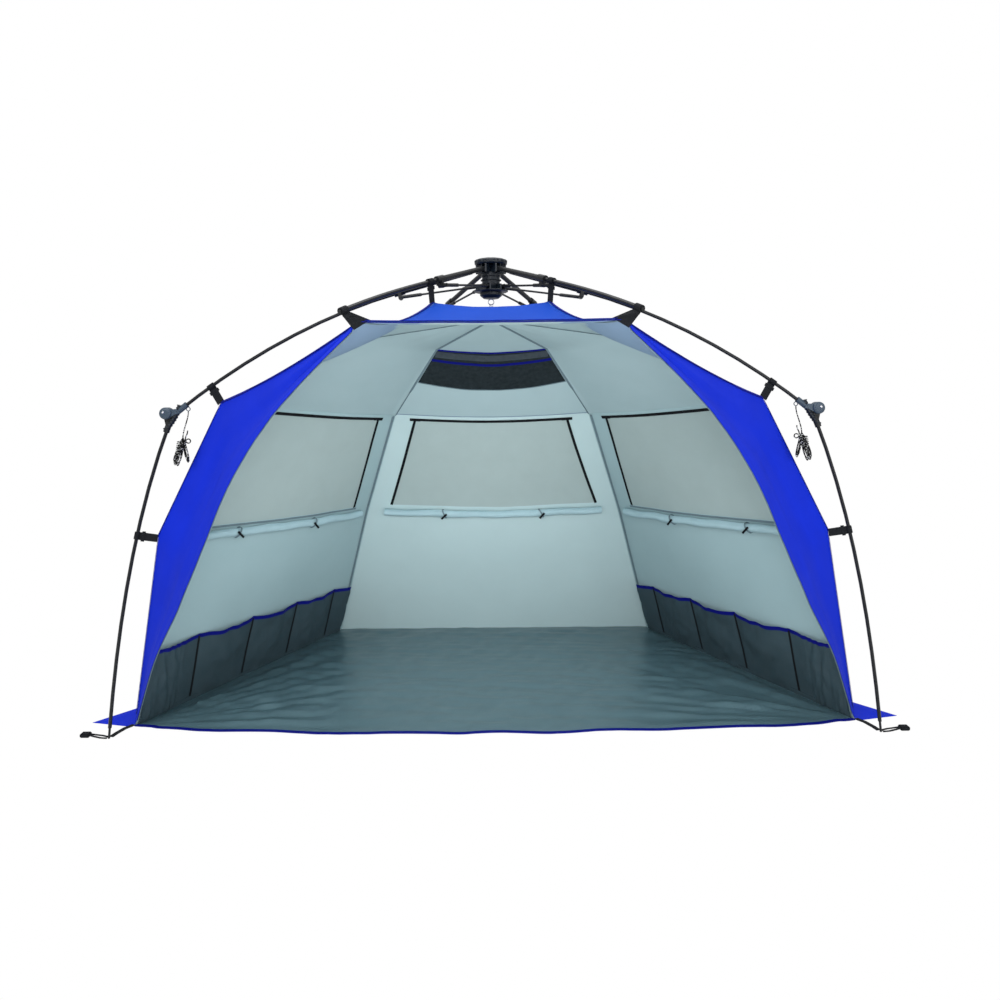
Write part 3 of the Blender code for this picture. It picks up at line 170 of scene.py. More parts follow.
SIDE = [plan(0.970, 0.077, 0), plan(0.867, 0, 0.4365), plan(0.702, 0, 0.7203), plan(0.300, 0, 0.8589)]
REAR = [plan(0.580, 0.890, 0), plan(0.436, 0.672, 0.4033), plan(0.313, 0.482, 0.6838),
        plan(0.161, 0.248, 0.8456)]
REAR_LEFT = [mirrored(p) for p in REAR]
FRONT = [plan(0.254, -0.470, 0.8515), plan(0.1335, -0.239, 0.9050)]
PEAK = plan(0, 0, 0.8946)
DOOR = [plan(*p) for p in (
    (0.254, -0.470, 0.8515), (0.398, -0.335, 0.765), (0.534, -0.220, 0.664), (0.632, -0.170, 0.545),
    (0.706, -0.135, 0.420), (0.782, -0.085, 0.300), (0.873, -0.020, 0.175), (0.970, 0.077, 0.0))]
FOCUS = plan(0.0, 0.45, 0.30)
SIDE_WINDOW, REAR_WINDOW = (0.29, 0.92), (0.11, 0.89)
SILL, HEAD, ROLL_ROW = 0.618, 0.985, 0.594
SIDE_SEED, REAR_SEED, WING_SEED = 2.0, 5.0, 9.0
EAVE_SAG, WALL_BELLY, WALL_FOOT, WALL_FOLDS = 0.014, 0.022, 0.0034, 0.006
ROOF_SAG, ROOF_FOLDS, FRONT_SAG, FRONT_DIP = 0.012, 0.003, 0.003, 0.026
WING_PULL, WING_FOLDS, WING_STREAKS = 0.014, 0.004, 0.013
CORNERS = {"side": (SIDE[3], SIDE[2]), "rear": (REAR[3], REAR[2]), "front": (FRONT[1], FRONT[0])}
ORDER = ("front_right", "side_right", "rear_right", "rear_left", "side_left", "front_left")


def outward(p):
    """The direction away from the tent's middle."""
    return (p - FOCUS).normalized()


def seam(line, v):
    """A point on a seam at a share of its eave's height."""
    z = v * line[2].z
    low, high = (line[0], line[1]) if z <= line[1].z else (line[1], line[2])
    return low.lerp(high, (z - low.z) / (high.z - low.z))


def crumple(a, b, seed, amount):
    """Soft folds of cloth under tension, in metres."""
    wide = noise.noise(Vector((a * 3.1 + seed, b * 2.3, seed))) * 1.0
    mid = noise.noise(Vector((a * 9.0 + seed, b * 4.5, seed + 7))) * 0.45
    small = noise.noise(Vector((a * 22.0, b * 13.0 + seed, seed + 3))) * 0.18
    return (wide + mid + small) * amount


def wall(left, right, u, v, seed, amount):
    """A wall between two seams: u runs from one to the other and v from the floor to the eave."""
    p = seam(left, v).lerp(seam(right, v), u)
    edge = 4 * u * (1 - u) * v * v * EAVE_SAG
    belly = math.sin(math.pi * u) * math.sin(math.pi * v) * WALL_BELLY
    hold = min(1, 6 * u * (1 - u)) * min(1, 8 * v * (1 - v) + 0.05)
    p = p - outward(p) * (edge + belly - crumple(u, v, seed, amount) * hold)
    p.z += WALL_FOOT * (1 - v)
    return p


def warp(u, v, knots, low, high):
    """Moves the window's sides from straight columns to the slanted ones in the photograph."""
    t = min(1, max(0, (v - SILL) / (HEAD - SILL)))
    to = [0, low[0] + (low[1] - low[0]) * t, high[0] + (high[1] - high[0]) * t, 1]
    for k in range(3):
        if u <= knots[k + 1] or k == 2:
            share = (u - knots[k]) / (knots[k + 1] - knots[k])
            return to[k] + (to[k + 1] - to[k]) * share


def side_wall(u, v):
    slanted = warp(u, v, (0, *SIDE_WINDOW, 1), (0.14, 0.16), (0.882, 0.877))
    return wall(SIDE, REAR, slanted, v, SIDE_SEED, WALL_FOLDS)


def rear_wall(u, v):
    slanted = warp(u, v, (0, *REAR_WINDOW, 1), (0.077, 0.113), (0.919, 0.898))
    return wall(REAR, REAR_LEFT, slanted, v, REAR_SEED, WALL_FOLDS)


def roof_corner(name, ring):
    """A rib's upper corner, ring 0, or its eave corner, ring 1."""
    p = CORNERS[name.split("_")[0]][ring]
    return mirrored(p) if name.endswith("left") else p


VENT_COLUMN, VENT_EDGE = 0.11, 0.012


def vent_share(t):
    """The vent takes nearly the whole width between the two rear seams."""
    if t <= VENT_COLUMN:
        return t * VENT_EDGE / VENT_COLUMN
    if t >= 1 - VENT_COLUMN:
        return 1 - (1 - t) * VENT_EDGE / VENT_COLUMN
    return VENT_EDGE + (t - VENT_COLUMN) * (1 - 2 * VENT_EDGE) / (1 - 2 * VENT_COLUMN)


def roof_point(first, second, t, ring, lower):
    """Between two ribs: ring runs from the peak to the upper corners, and lower on to the eave."""
    if first == "rear_right":
        t = vent_share(t)
        lower += 0.08 * math.sin(math.pi * t) * math.sin(math.pi * lower)
    if lower <= 0:
        a = PEAK.lerp(roof_corner(first, 0), ring)
        b = PEAK.lerp(roof_corner(second, 0), ring)
        p = a.lerp(b, t) - UP * ROOF_SAG * math.sin(math.pi * t) * ring
    else:
        a = roof_corner(first, 0).lerp(roof_corner(first, 1), lower)
        b = roof_corner(second, 0).lerp(roof_corner(second, 1), lower)
        p = a.lerp(b, t) - UP * ROOF_SAG * math.sin(math.pi * t) * (1 - lower)
        sag = FRONT_SAG if first == "front_left" else EAVE_SAG
        p = p - outward(p) * 4 * t * (1 - t) * sag * lower
        front = (1 - t) * first.startswith("front") + t * second.startswith("front")
        p.z -= FRONT_DIP * front * max(0.0, math.sin(math.pi * min(1, lower)))**0.8
    seed = ORDER.index(first) * 3.7
    return p - UP * abs(crumple(t, ring + lower, seed, ROOF_FOLDS)) * math.sin(math.pi * t)


def door(share):
    """A smooth curve through the door's points."""
    place = share * (len(DOOR) - 1)
    k = min(int(place), len(DOOR) - 2)
    t = place - k
    a, b, c, d = DOOR[max(k - 1, 0)], DOOR[k], DOOR[k + 1], DOOR[min(k + 2, len(DOOR) - 1)]
    return 0.5 * (2 * b + (c - a) * t + (2 * a - 5 * b + 4 * c - d) * t * t + (3 * b - a - 3 * c + d) * t**3)


# The wings' outer rim: along the eave from the front corner, then down the side seam.
EAVE_STEPS, SEAM_STEPS = 14, 28
RIM = []
for k in range(EAVE_STEPS):
    t = k / EAVE_STEPS
    p = roof_corner("front_right", 1).lerp(roof_corner("side_right", 1), t)
    RIM.append(p - outward(p) * 4 * t * (1 - t) * EAVE_SAG)
RIM += [wall(SIDE, REAR, 0, 1 - k / SEAM_STEPS, SIDE_SEED, 0) for k in range(SEAM_STEPS + 1)]
RIM_AT = [0.0]
for a, b in zip(RIM, RIM[1:]):
    RIM_AT.append(RIM_AT[-1] + (b - a).length)


def wing(w, k):
    """The front panel: k counts along its outer rim and w runs to the door's edge."""
    share = RIM_AT[k] / RIM_AT[-1]
    a, b = RIM[k], door(share)
    p = a.lerp(b, w)
    hold = math.sin(math.pi * share) ** 0.4
    pull = math.sin(math.pi * w) * WING_PULL
    streak = noise.noise(Vector((w * 6.5 + share * 1.5, share * 1.6, 11.0))) * WING_STREAKS
    fold = crumple(w * 0.8, share * 3, WING_SEED, WING_FOLDS) * w + streak * math.sin(math.pi * w)
    return p - outward(p) * (pull * min(1, (b - a).length * 6) - fold * hold)


# Builders.


SHARP_DEG = 50


def new_object(name, bm, mats):
    bmesh.ops.recalc_face_normals(bm, faces=bm.faces)
    name = name.replace(" ", "_")
    mesh = bpy.data.meshes.new(name)
    bm.to_mesh(mesh)
    bm.free()
    obj = bpy.data.objects.new(name, mesh)
    bpy.context.scene.collection.objects.link(obj)
    for mat in mats:
        mesh.materials.append(mat)
    mesh.shade_smooth()
    mesh.set_sharp_from_angle(angle=math.radians(SHARP_DEG))
    return obj


def side_of(flip):
    """The mirror for the left side's pieces, which are made at the right."""
    return mirrored if flip else (lambda p: p)


def skin(bm, rings):
    """Faces between rings of corners, with caps."""
    count = len(rings[0])
    for a, b in zip(rings, rings[1:]):
        for i in range(count):
            j = (i + 1) % count
            bm.faces.new((a[i], a[j], b[j], b[i]))
    bm.faces.new(list(reversed(rings[0])))
    bm.faces.new(rings[-1])


def rims(faces):
    """The directed edges that only one face has."""
    count = {}
    for face in faces:
        for i, j in zip(face, face[1:] + face[:1]):
            count.setdefault(frozenset((i, j)), []).append((i, j))
    return [pair[0] for pair in count.values() if len(pair) == 1]


def slab(bm, top, low, faces):
    """Closes a net into a thin solid: outer faces, then inner ones in the second material."""
    for face in faces:
        bm.faces.new([top[i] for i in face])
        bm.faces.new([low[i] for i in reversed(face)]).material_index = 1
    for i, j in rims(faces):
        bm.faces.new((top[j], top[i], low[i], low[j]))


def cloth(name, points, faces, mats, thick=0.0013, flip=False, nodes=()):
    """A thin closed sheet over a net: its first material outside, its second inside."""
    normals = [Vector() for _ in points]
    for face in faces:
        n = (points[face[1]] - points[face[0]]).cross(points[face[-1]] - points[face[0]])
        for i in face:
            normals[i] += n
    used = sorted({i for face in faces for i in face})
    turn = side_of(flip)
    bm = bmesh.new()
    top, low = {}, {}
    for i in used:
        n = normals[i].normalized()
        if n.dot(outward(points[i])) < 0:
            n = -n
        top[i] = bm.verts.new(turn(points[i]))
        low[i] = bm.verts.new(turn(points[i] - n * thick))
    slab(bm, top, low, faces)
    return settle(new_object(name, bm, mats), nodes)


def settle(obj, nodes=(), body=ROOT, flat=True):
    """Ties a piece to its body, hides the CAD parts it replaces, and gives it its own copy of its mesh where
    flat is set.
    """
    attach(obj, body)
    if nodes:
        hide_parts(*nodes)
    if flat:
        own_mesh(obj)
    return obj


def grid(fn, us, vs):
    """A surface's points, and its faces with their row and column."""
    points = [fn(u, v) for v in vs for u in us]
    n = len(us)
    quads = [(r, c, [r * n + c, r * n + c + 1, (r + 1) * n + c + 1, (r + 1) * n + c])
             for r in range(len(vs) - 1) for c in range(n - 1)]
    return points, quads


def steps(knots, each):
    """Finer steps between the given ones."""
    out = []
    for a, b in zip(knots, knots[1:]):
        n = max(1, round((b - a) / each))
        out += [a + (b - a) * k / n for k in range(n)]
    return out + [knots[-1]]


def ribbon(name, path, facing, width, thick, mat, flip=False, gap=0.0006):
    """A flat tape along a path; facing gives the side that it stands off to, at each point."""
    bm = bmesh.new()
    rings = []
    for k, p in enumerate(path):
        ahead = (path[min(k + 1, len(path) - 1)] - path[max(k - 1, 0)]).normalized()
        n = facing(k) if callable(facing) else facing
        n = (n - ahead * n.dot(ahead)).normalized()
        across = ahead.cross(n).normalized() * width / 2
        base = p + n * gap
        corners = [base + across, base - across, base - across + n * thick, base + across + n * thick]
        rings.append([bm.verts.new(mirrored(c) if flip else c) for c in corners])
    skin(bm, rings)
    return settle(new_object(name, bm, [mat]))


def inside(surface, u, v):
    """A wall's own normal, towards the cabin."""
    d = 0.01
    along, over = surface(u + d, v) - surface(u - d, v), surface(u, v + d) - surface(u, v - d)
    n = along.cross(over).normalized()
    return -n if n.dot(outward(surface(u, v))) > 0 else n


TAPE_RIM = 0.015


def surface_tape(name, surface, spots, width, mat, flip=False, gap=0.0020, thick=0.0009):
    """A tape sewn inside a wall, through places given as (u, v)."""
    line = []
    for (u0, v0), (u1, v1) in zip(spots, spots[1:]):
        n = max(2, int(40 * math.hypot(u1 - u0, v1 - v0)))
        line += [(u0 + (u1 - u0) * k / n, v0 + (v1 - v0) * k / n) for k in range(n)]
    line.append(spots[-1])
    path = [surface(u, v) for u, v in line]
    low, high = TAPE_RIM, 1 - TAPE_RIM
    faces = [inside(surface, min(high, max(low, u)), min(high, max(low, v))) for u, v in line]
    return ribbon(name, path, lambda k: faces[k], width, thick, mat, flip, gap)


# Walls, windows and what is sewn to them.
POCKET_TOP = 0.235
WALL_STEP = 0.035
WALL_ROWS = steps((0, 0.08, POCKET_TOP, 0.42, SILL, 0.72, 0.85, HEAD, 1.0), WALL_STEP)
SIDE_COLUMNS = (0.0, 0.10, SIDE_WINDOW[0], 0.45, 0.62, 0.78, SIDE_WINDOW[1], 1.0)
REAR_COLUMNS = (0.0, REAR_WINDOW[0], 0.30, 0.50, 0.70, REAR_WINDOW[1], 1.0)


def build_wall(name, window, surface, columns, span, flip, lining):
    """A wall's cloth with its window left out, and the window's mesh in it."""
    us = steps(columns, WALL_STEP)
    points, quads = grid(surface, us, WALL_ROWS)

    def is_window(r, c):
        u = (us[c] + us[c + 1]) / 2
        v = (WALL_ROWS[r] + WALL_ROWS[r + 1]) / 2
        return span[0] < u < span[1] and SILL < v < HEAD

    solid = [f for r, c, f in quads if not is_window(r, c)]
    holes = [f for r, c, f in quads if is_window(r, c)]
    panel = cloth(name + " cloth", points, solid, [BLUE, lining], flip=flip, nodes=[name])
    mesh = cloth(window + " mesh", points, holes, [MESH, MESH], flip=flip, nodes=[window])
    return panel, mesh


def declare(obj):
    """Reads a sheet's vertex places and centres them on their mean; nothing is kept or stated."""
    spots = np.array([v.co for v in obj.data.vertices])
    spots -= spots.mean(axis=0)


ZIP_W, BAR_W, BAR_L = 0.011, 0.012, 0.042


def window_trim(name, surface, span, flip):
    """The zip round a window's sides and top, with the sewn bars at its upper corners."""
    low, high = span
    round_it = [(low, SILL), (low, HEAD), (high, HEAD), (high, SILL)]
    out = [surface_tape("zip " + name, surface, round_it, ZIP_W, BLACK, flip)]
    for u in span:
        mid = surface(u, HEAD)
        along = (surface(u + 0.02, HEAD) - surface(u - 0.02, HEAD)).normalized()
        path = [mid - along * BAR_L / 2, mid, mid + along * BAR_L / 2]
        n = inside(surface, u, 0.98)
        out.append(ribbon(f"tab {name} {u}", path, n, BAR_W, 0.0016, BLACK, flip, 0.0034))
    return out


# The tapes of a side wall: name, places on the wall, width, material and gap.
SIDE_TAPES = (("sill ", [(0.27, 0.612), (0.93, 0.612)], 0.008, SEAM, 0.002),
              ("rear seam ", [(0.988, 0.02), (0.988, 0.995)], 0.012, SEAM, 0.003),
              ("eave seam ", [(0.02, 0.996), (0.98, 0.996)], 0.012, GREY, 0.002),
              ("foot seam ", [(0.015, 0.010), (0.985, 0.010)], 0.018, POCKET, 0.0075))
for word, flip in SIDES:
    side = "side_wall_" + word
    panel, mesh = build_wall(side, "window_" + word, side_wall, SIDE_COLUMNS, SIDE_WINDOW, flip, GREY)
    trim = window_trim(word, side_wall, SIDE_WINDOW, flip)
    for label, line, width, mat, gap in SIDE_TAPES:
        trim.append(surface_tape(label + word, side_wall, line, width, mat, flip, gap))
    declare(panel)
    declare(mesh)
# The rear wall and its eave tape carry the painted light of the lighter rear lining.
panel, mesh = build_wall("rear_wall", "window_rear", rear_wall, REAR_COLUMNS, REAR_WINDOW, False, REAR_LINING_PAINTED_LIGHT)
trim = window_trim("rear", rear_wall, REAR_WINDOW, False)
trim.append(surface_tape("eave seam rear", rear_wall, [(0.02, 0.996), (0.98, 0.996)], 0.012, REAR_LINING_PAINTED_LIGHT))
declare(panel)
declare(mesh)

ROLL_STEPS, ROLL_SIDES, ROLL_R, ROLL_OUT = 44, 14, 0.0142, 0.018
TIE_R, TIE_SLANT, TIE_STEPS, TOGGLE_OUT, TOGGLE_HALF = 0.0168, 0.009, 18, 0.019, 0.015
ROLL_WAVES, ROLL_WAVE, ROLL_LUMP, ROLL_LIP, LIP_AT = 5, 0.003, 0.0022, 0.0014, 3


def around(centers, k):
    """A line's direction at a point, and two directions square to it."""
    along = (centers[min(k + 1, len(centers) - 1)] - centers[max(k - 1, 0)]).normalized()
    first = UP.cross(along).normalized()
    return along, first, along.cross(first)


def build_roll(name, surface, low, high, ties, flip):
    """A window cover rolled up on its sill, with its ties and toggles."""
    centers = []
    for k in range(ROLL_STEPS + 1):
        u = low + (high - low) * k / ROLL_STEPS
        center = surface(u, ROLL_ROW) + inside(surface, u, ROLL_ROW) * ROLL_OUT
        center.z -= ROLL_WAVE * math.sin(ROLL_WAVES * math.pi * k / ROLL_STEPS) ** 2
        centers.append(center)
    turn_side = side_of(flip)
    bm = bmesh.new()
    rings = []
    for k, center in enumerate(centers):
        _, first, second = around(centers, k)
        ring = []
        for i in range(ROLL_SIDES):
            a = 2 * math.pi * i / ROLL_SIDES
            r = ROLL_R + ROLL_LUMP * noise.noise(Vector((k * 0.24, math.cos(a) * 1.2, math.sin(a) * 1.2)))
            r += ROLL_LIP * (i == LIP_AT)
            ring.append(bm.verts.new(turn_side(center + r * (first * math.cos(a) + second * math.sin(a)))))
        rings.append(ring)
    skin(bm, rings)
    settle(new_object(name + " roll", bm, [ROLL]), [name])
    for u in ties:
        k = round((u - low) / (high - low) * ROLL_STEPS)
        c = centers[k]
        along, first, second = around(centers, k)
        loop = []
        for i in range(TIE_STEPS + 1):
            a = 2 * math.pi * i / TIE_STEPS
            turned = first * math.cos(a) + second * math.sin(a)
            loop.append(c + turned * TIE_R + along * TIE_SLANT * math.sin(a))
        ribbon(f"{name} tie {u}", loop, lambda i: loop[i] - c, 0.006, 0.0010, SEAM, flip)
        n = inside(surface, u, ROLL_ROW)
        pin = c + n * TOGGLE_OUT
        slant = (UP - along).normalized() * TOGGLE_HALF
        ribbon(f"{name} toggle {u}", [pin - slant, pin, pin + slant], n, 0.007, 0.005, BLACK, flip)


for word, flip in SIDES:
    build_roll("cover_roll_" + word, side_wall, 0.22, 0.945, (0.40, 0.70), flip)
build_roll("cover_roll_rear", rear_wall, 0.09, 0.915, (0.317, 0.695), False)


# Storage pockets along the side walls.
POCKET_FIRST, POCKET_STEP, POCKET_SEAMS, FRONT_CELL = 0.33, 0.20, 4, 0.36
POCKET_U, POCKET_V = [k / 100 for k in range(101)], [k / 18 for k in range(19)]
POCKET_LIFT, POCKET_GAP, POCKET_SAG = 0.016, 0.0035, 0.005


def pocket(s, r):
    """s runs along the wall, and r from the pockets' foot to their top."""
    u, v = 0.02 + 0.96 * s, POCKET_TOP * (0.035 + 0.965 * r)
    n = inside(side_wall, u, max(0.012, v))
    pitch = POCKET_STEP if s > POCKET_FIRST else FRONT_CELL
    cell = abs(math.sin(math.pi * (s - POCKET_FIRST) / pitch))
    lift = POCKET_GAP + POCKET_LIFT * cell**0.7 * math.sin(math.pi * (r * 0.62 + 0.10))
    lift += 0.009 * cell**0.5 * noise.noise(Vector((s * 26 + r * 2.2, r * 2.4 - s * 9, 4.0)))
    lift += 0.008 * cell**0.5 * abs(noise.noise(Vector((s * 15 - r * 2.5, r * 3.0 + s * 11, 9.0))))
    p = side_wall(u, v) + n * max(lift, 0.003)
    p.z = max(p.z, 0.0045) - POCKET_SAG * cell * r * r
    return p


SIDE_IN = inside(side_wall, 0.5, 0.2)
for word, flip in SIDES:
    points, quads = grid(pocket, POCKET_U, POCKET_V)
    band = cloth("pocket cloth " + word, points, [f for _, _, f in quads], [POCKET, POCKET], 0.0010, flip,
                 ["pocket_band_" + word])
    top = [pocket(s, 1.0) for s in POCKET_U]
    trim = [ribbon("pocket binding " + word, top, SIDE_IN, 0.014, 0.0018, NAVY, flip, 0.0004)]
    for k in range(POCKET_SEAMS):
        path = [pocket(POCKET_FIRST + k * POCKET_STEP, j / 24) for j in range(25)]
        trim.append(ribbon(f"pocket seam {word} {k}", path, SIDE_IN, 0.007, 0.0010, BLACK, flip, 0.0030))
    declare(band)


# The roof, with its vent, and the front panels.
VENT_FOOT, SLACK = 0.47, 0.005
SHADE_BACK = 0.01
ROOF_T = steps((0.0, VENT_COLUMN, 0.30, 0.50, 0.70, 1 - VENT_COLUMN, 1.0), 0.05)
LOWER_ROWS = steps((0, 0.235, VENT_FOOT, 0.735, 1.0), 0.06)[1:]
ROOF_ROWS = [(k / 8, 0.0) for k in range(1, 9)] + [(1.0, lower) for lower in LOWER_ROWS]
NEXT = dict(zip(ORDER, ORDER[1:] + ORDER[:1]))
roof_points, roof_faces, vent_faces = [PEAK.copy()], [], []
ring_spots = [(a, NEXT[a], t) for a in ORDER for t in ROOF_T[:-1]]
for ring, lower in ROOF_ROWS:
    roof_points += [roof_point(a, b, t, ring, lower) for a, b, t in ring_spots]
n = len(ring_spots)
for c in range(n):
    d = (c + 1) % n
    roof_faces.append([0, 1 + c, 1 + d])
    a, b, t = ring_spots[c]
    for r in range(len(ROOF_ROWS) - 1):
        at = 1 + r * n
        ring, lower = ROOF_ROWS[r]
        in_vent = a == "rear_right" and ring == 1 and lower < VENT_FOOT - SLACK
        in_vent = in_vent and VENT_COLUMN - SLACK < t < 1 - VENT_COLUMN - SLACK
        face = [at + c, at + n + c, at + n + d, at + d]
        (vent_faces if in_vent else roof_faces).append(face)
roof = cloth("roof cloth", roof_points, roof_faces, [ROOF, PALE, PAINTED_SHADE_LINING], nodes=["roof"])
# The lining next to the front corners is a painted shade: darker, and tinted blue as by light through the
# cloth.
for polygon in roof.data.polygons:
    c = polygon.center
    at_front = c.y < SIDE[3].y - SHADE_BACK and abs(c.x) > abs(FRONT[1].x) and c.z < SIDE[3].z
    if polygon.material_index == 1 and at_front:
        polygon.material_index = 2
# The vent's dark colour carries the painted shade of the cover behind its mesh.
vent = cloth("roof vent mesh", roof_points, vent_faces, [VENT, VENT], nodes=["roof_vent"])


def roof_inside(first, second, t, ring, lower):
    """The roof's own normal below its upper corners, towards the cabin."""
    d = 0.01
    across = roof_point(first, second, t + d, ring, lower) - roof_point(first, second, t - d, ring, lower)
    down = roof_point(first, second, t, ring, lower + d) - roof_point(first, second, t, ring, lower)
    n = across.cross(down).normalized()
    return -n if n.z > 0 else n


# Above this height the roof's tapes face straight down or up, and below it to or from the tent's middle.
ROOF_TURN = 1.1


def roof_tape(name, spots, width, mat, gap=0.0022, thick=0.0010, over=False, own=False):
    """A tape on the roof through (first, second, t, ring, lower) places, inside it or over it."""
    path = [roof_point(*spot) for spot in spots]
    sign = 1 if over else -1
    if own:
        faces = [roof_inside(*spot) for spot in spots]
    else:
        faces = [sign * outward(p) if p.z < ROOF_TURN else UP * sign for p in path]
    return ribbon(name, path, lambda k: faces[k], width, thick, mat, False, gap)


def across_roof(first, second, lower, margin=0.0):
    """Places along a line between two ribs, at one height below the upper corners."""
    return [(first, second, margin + (1 - 2 * margin) * k / 24, 1.0, lower) for k in range(25)]


RIB_LINE = [(k / 10, 0.0) for k in range(1, 11)] + [(1.0, k / 14) for k in range(1, 15)]
for name in ORDER:
    spots = [(name, NEXT[name], 0.0, ring, lower) for ring, lower in RIB_LINE]
    roof_tape("roof seam " + name, spots, 0.012, SEAM)
    roof_tape("roof seam over " + name, spots, 0.008, NAVY, 0.0006, 0.0008, over=True)
for low, width, mat in ((0.0, 0.008, NAVY), (0.14, 0.011, NAVY), (VENT_FOOT, 0.004, SEAM)):
    spots = across_roof("rear_right", "rear_left", max(low, 0.001), VENT_COLUMN)
    roof_tape(f"vent line {low}", spots, width, mat, own=True)
spots = across_roof("rear_right", "rear_left", 0.065, VENT_COLUMN + 0.002)
roof_tape("vent band", spots, 0.030, VENT_BAND, 0.0008, 0.0008, own=True)
declare(vent)
spots = across_roof("front_left", "front_right", 0.992)
roof_tape("front edge binding", spots, 0.016, NAVY, 0.0022, 0.0012)
roof_tape("front edge hem", spots, 0.012, NAVY, 0.0006, 0.0012, over=True)
for name in ("front_right", "side_left", "side_right", "rear_left", "rear_right"):
    spots = across_roof(name, NEXT[name], 0.995)
    roof_tape(f"eave {name}", spots, 0.010, NAVY, 0.0008, 0.0010, over=True)
declare(roof)

WING_W = [k / 12 for k in range(13)]
WING_ROWS = range(1, len(RIM) - 1)
for word, flip in SIDES:
    points, quads = grid(wing, WING_W, WING_ROWS)
    faces = [f for _, _, f in quads]
    m = len(WING_W)
    points += [RIM[0], RIM[-1]]
    last = (len(WING_ROWS) - 1) * m
    faces += [[len(points) - 2, c + 1, c] for c in range(m - 1)]
    faces += [[len(points) - 1, last + c, last + c + 1] for c in range(m - 1)]
    panel = cloth("wing cloth " + word, points, faces, [BLUE, GREY], flip=flip, nodes=["door_wing_" + word])
    hem = [wing(0.985, k) for k in WING_ROWS]
    crease = [RIM[k] for k in WING_ROWS]
    trim = [ribbon("door hem " + word, hem, lambda k: outward(hem[k]), 0.014, 0.0010, BLUE, flip, 0.0004),
            ribbon("door hem inside " + word, hem, lambda k: -outward(hem[k]), 0.018, 0.0010, SEAM, flip,
                   0.0018),
            ribbon("crease " + word, crease, lambda k: outward(crease[k]), 0.007, 0.0009, NAVY, flip)]
    declare(panel)


# The floor and the corner flaps.
FLOOR_RIM = 0.004
FRONT_HALF, REAR_HALF = SIDE[0].x + FLOOR_RIM, REAR[0].x + FLOOR_RIM
FRONT_Y, REAR_Y = SIDE[0].y + FLOOR_RIM, REAR[0].y + FLOOR_RIM
FLOOR_BOW, FLOOR_WAVE, FLOOR_FOLDS, FLOOR_T, FLOOR_FOOT = 0.088, 0.023, 0.009, 0.0022, 0.0004


def floor_point(u, v):
    """u from left to right, v from the front edge to the back."""
    half = FRONT_HALF + (REAR_HALF - FRONT_HALF) * v
    x = half * (2 * u - 1)
    bow = FLOOR_BOW * math.sin(math.pi * u) ** 0.55 * (1 - v)
    wave = FLOOR_WAVE * noise.noise(Vector((u * 11, 0.5, 3.0)))
    wave *= max(0, 1 - 10 * v) * min(1, 12 * u * (1 - u))
    y = FRONT_Y + (REAR_Y - FRONT_Y) * v - bow + wave
    crinkle = noise.noise(Vector((x * 5, y * 8, 1.0))) * 0.5
    crinkle += noise.noise(Vector((x * 14, y * 19, 2.0))) * 0.3
    crinkle += abs(noise.noise(Vector((x * 9 + y * 4, y * 12 - x * 3, 6.0)))) * 0.6
    crinkle += noise.noise(Vector((x * 3, y * 26 + x * 2, 12.0))) * 0.5
    for side in (-1, 1):
        dx, dy = x - side * FRONT_HALF, y - FRONT_Y + 0.02
        away = math.hypot(dx, dy)
        ray = Vector((math.atan2(dy, abs(dx)) * 13, away * 1.3, 20.0 + side))
        crinkle += noise.noise(ray) * 2.3 * math.exp(-2.0 * away)
    inner = min(1, 30 * u * (1 - u)) * min(1, 0.40 + 7 * v * (1 - v))
    return Vector((x, y, FLOOR_T + max(0, crinkle + 0.4) * FLOOR_FOLDS * inner + FLOOR_FOOT))


points, quads = grid(floor_point, [k / 150 for k in range(151)], [k / 110 for k in range(111)])
bm = bmesh.new()
top = [bm.verts.new(p) for p in points]
low = [bm.verts.new(Vector((p.x, p.y, FLOOR_FOOT))) for p in points]
slab(bm, top, low, [f for _, _, f in quads])
ground = new_object("floor cloth", bm, [FLOOR, FLOOR])
settle(ground, ["floor"])
edge = [floor_point(0.004 + 0.992 * k / 120, 0.0) + Vector((0, -0.002, -0.0012)) for k in range(121)]
binding = ribbon("floor binding", edge, UP, 0.013, 0.0030, NAVY, False, 0.0)
declare(ground)

FLAP_STEPS = 8
FLAP = [SIDE[0] + Vector((0.004, -0.012, 0)), plan(1.094, 0.095, 0),
        SIDE[0].lerp(REAR[0], 0.45) + Vector((0.006, 0.003, 0))]


def flap_point(a, b):
    """a counts from the floor's edge to the flap's tip, and b along the floor."""
    s, t = a / FLAP_STEPS, b / FLAP_STEPS
    p = FLAP[0] * (1 - s - t) + FLAP[1] * s + FLAP[2] * t
    rise = 0.006 * abs(noise.noise(Vector((s * 6, t * 7, 3.0)))) * min(1, 8 * (1 - s - t) * (s + t))
    return Vector((p.x, p.y, 0.0012 + rise))


for word, flip in SIDES:
    bm = bmesh.new()
    turn = side_of(flip)
    high = [[bm.verts.new(turn(flap_point(a, b))) for b in range(FLAP_STEPS + 1 - a)]
            for a in range(FLAP_STEPS + 1)]
    base = [[bm.verts.new(Vector((v.co.x, v.co.y, 0.0003))) for v in row] for row in high]
    for a in range(FLAP_STEPS):
        for b in range(FLAP_STEPS - a):
            for k, net in enumerate((high, base)):
                bm.faces.new((net[a][b], net[a + 1][b], net[a][b + 1])).material_index = k
                if b < FLAP_STEPS - 1 - a:
                    bm.faces.new((net[a + 1][b], net[a + 1][b + 1], net[a][b + 1])).material_index = k
    border = [(0, k) for k in range(FLAP_STEPS + 1)]
    border += [(k, FLAP_STEPS - k) for k in range(1, FLAP_STEPS + 1)]
    border += [(k, 0) for k in range(FLAP_STEPS - 1, 0, -1)]
    for (a, b), (c, d) in zip(border, border[1:] + border[:1]):
        bm.faces.new((high[a][b], high[c][d], base[c][d], base[a][b]))
    flap = settle(new_object("sand flap " + word, bm, [BLUE, BLUE]))
    declare(flap)


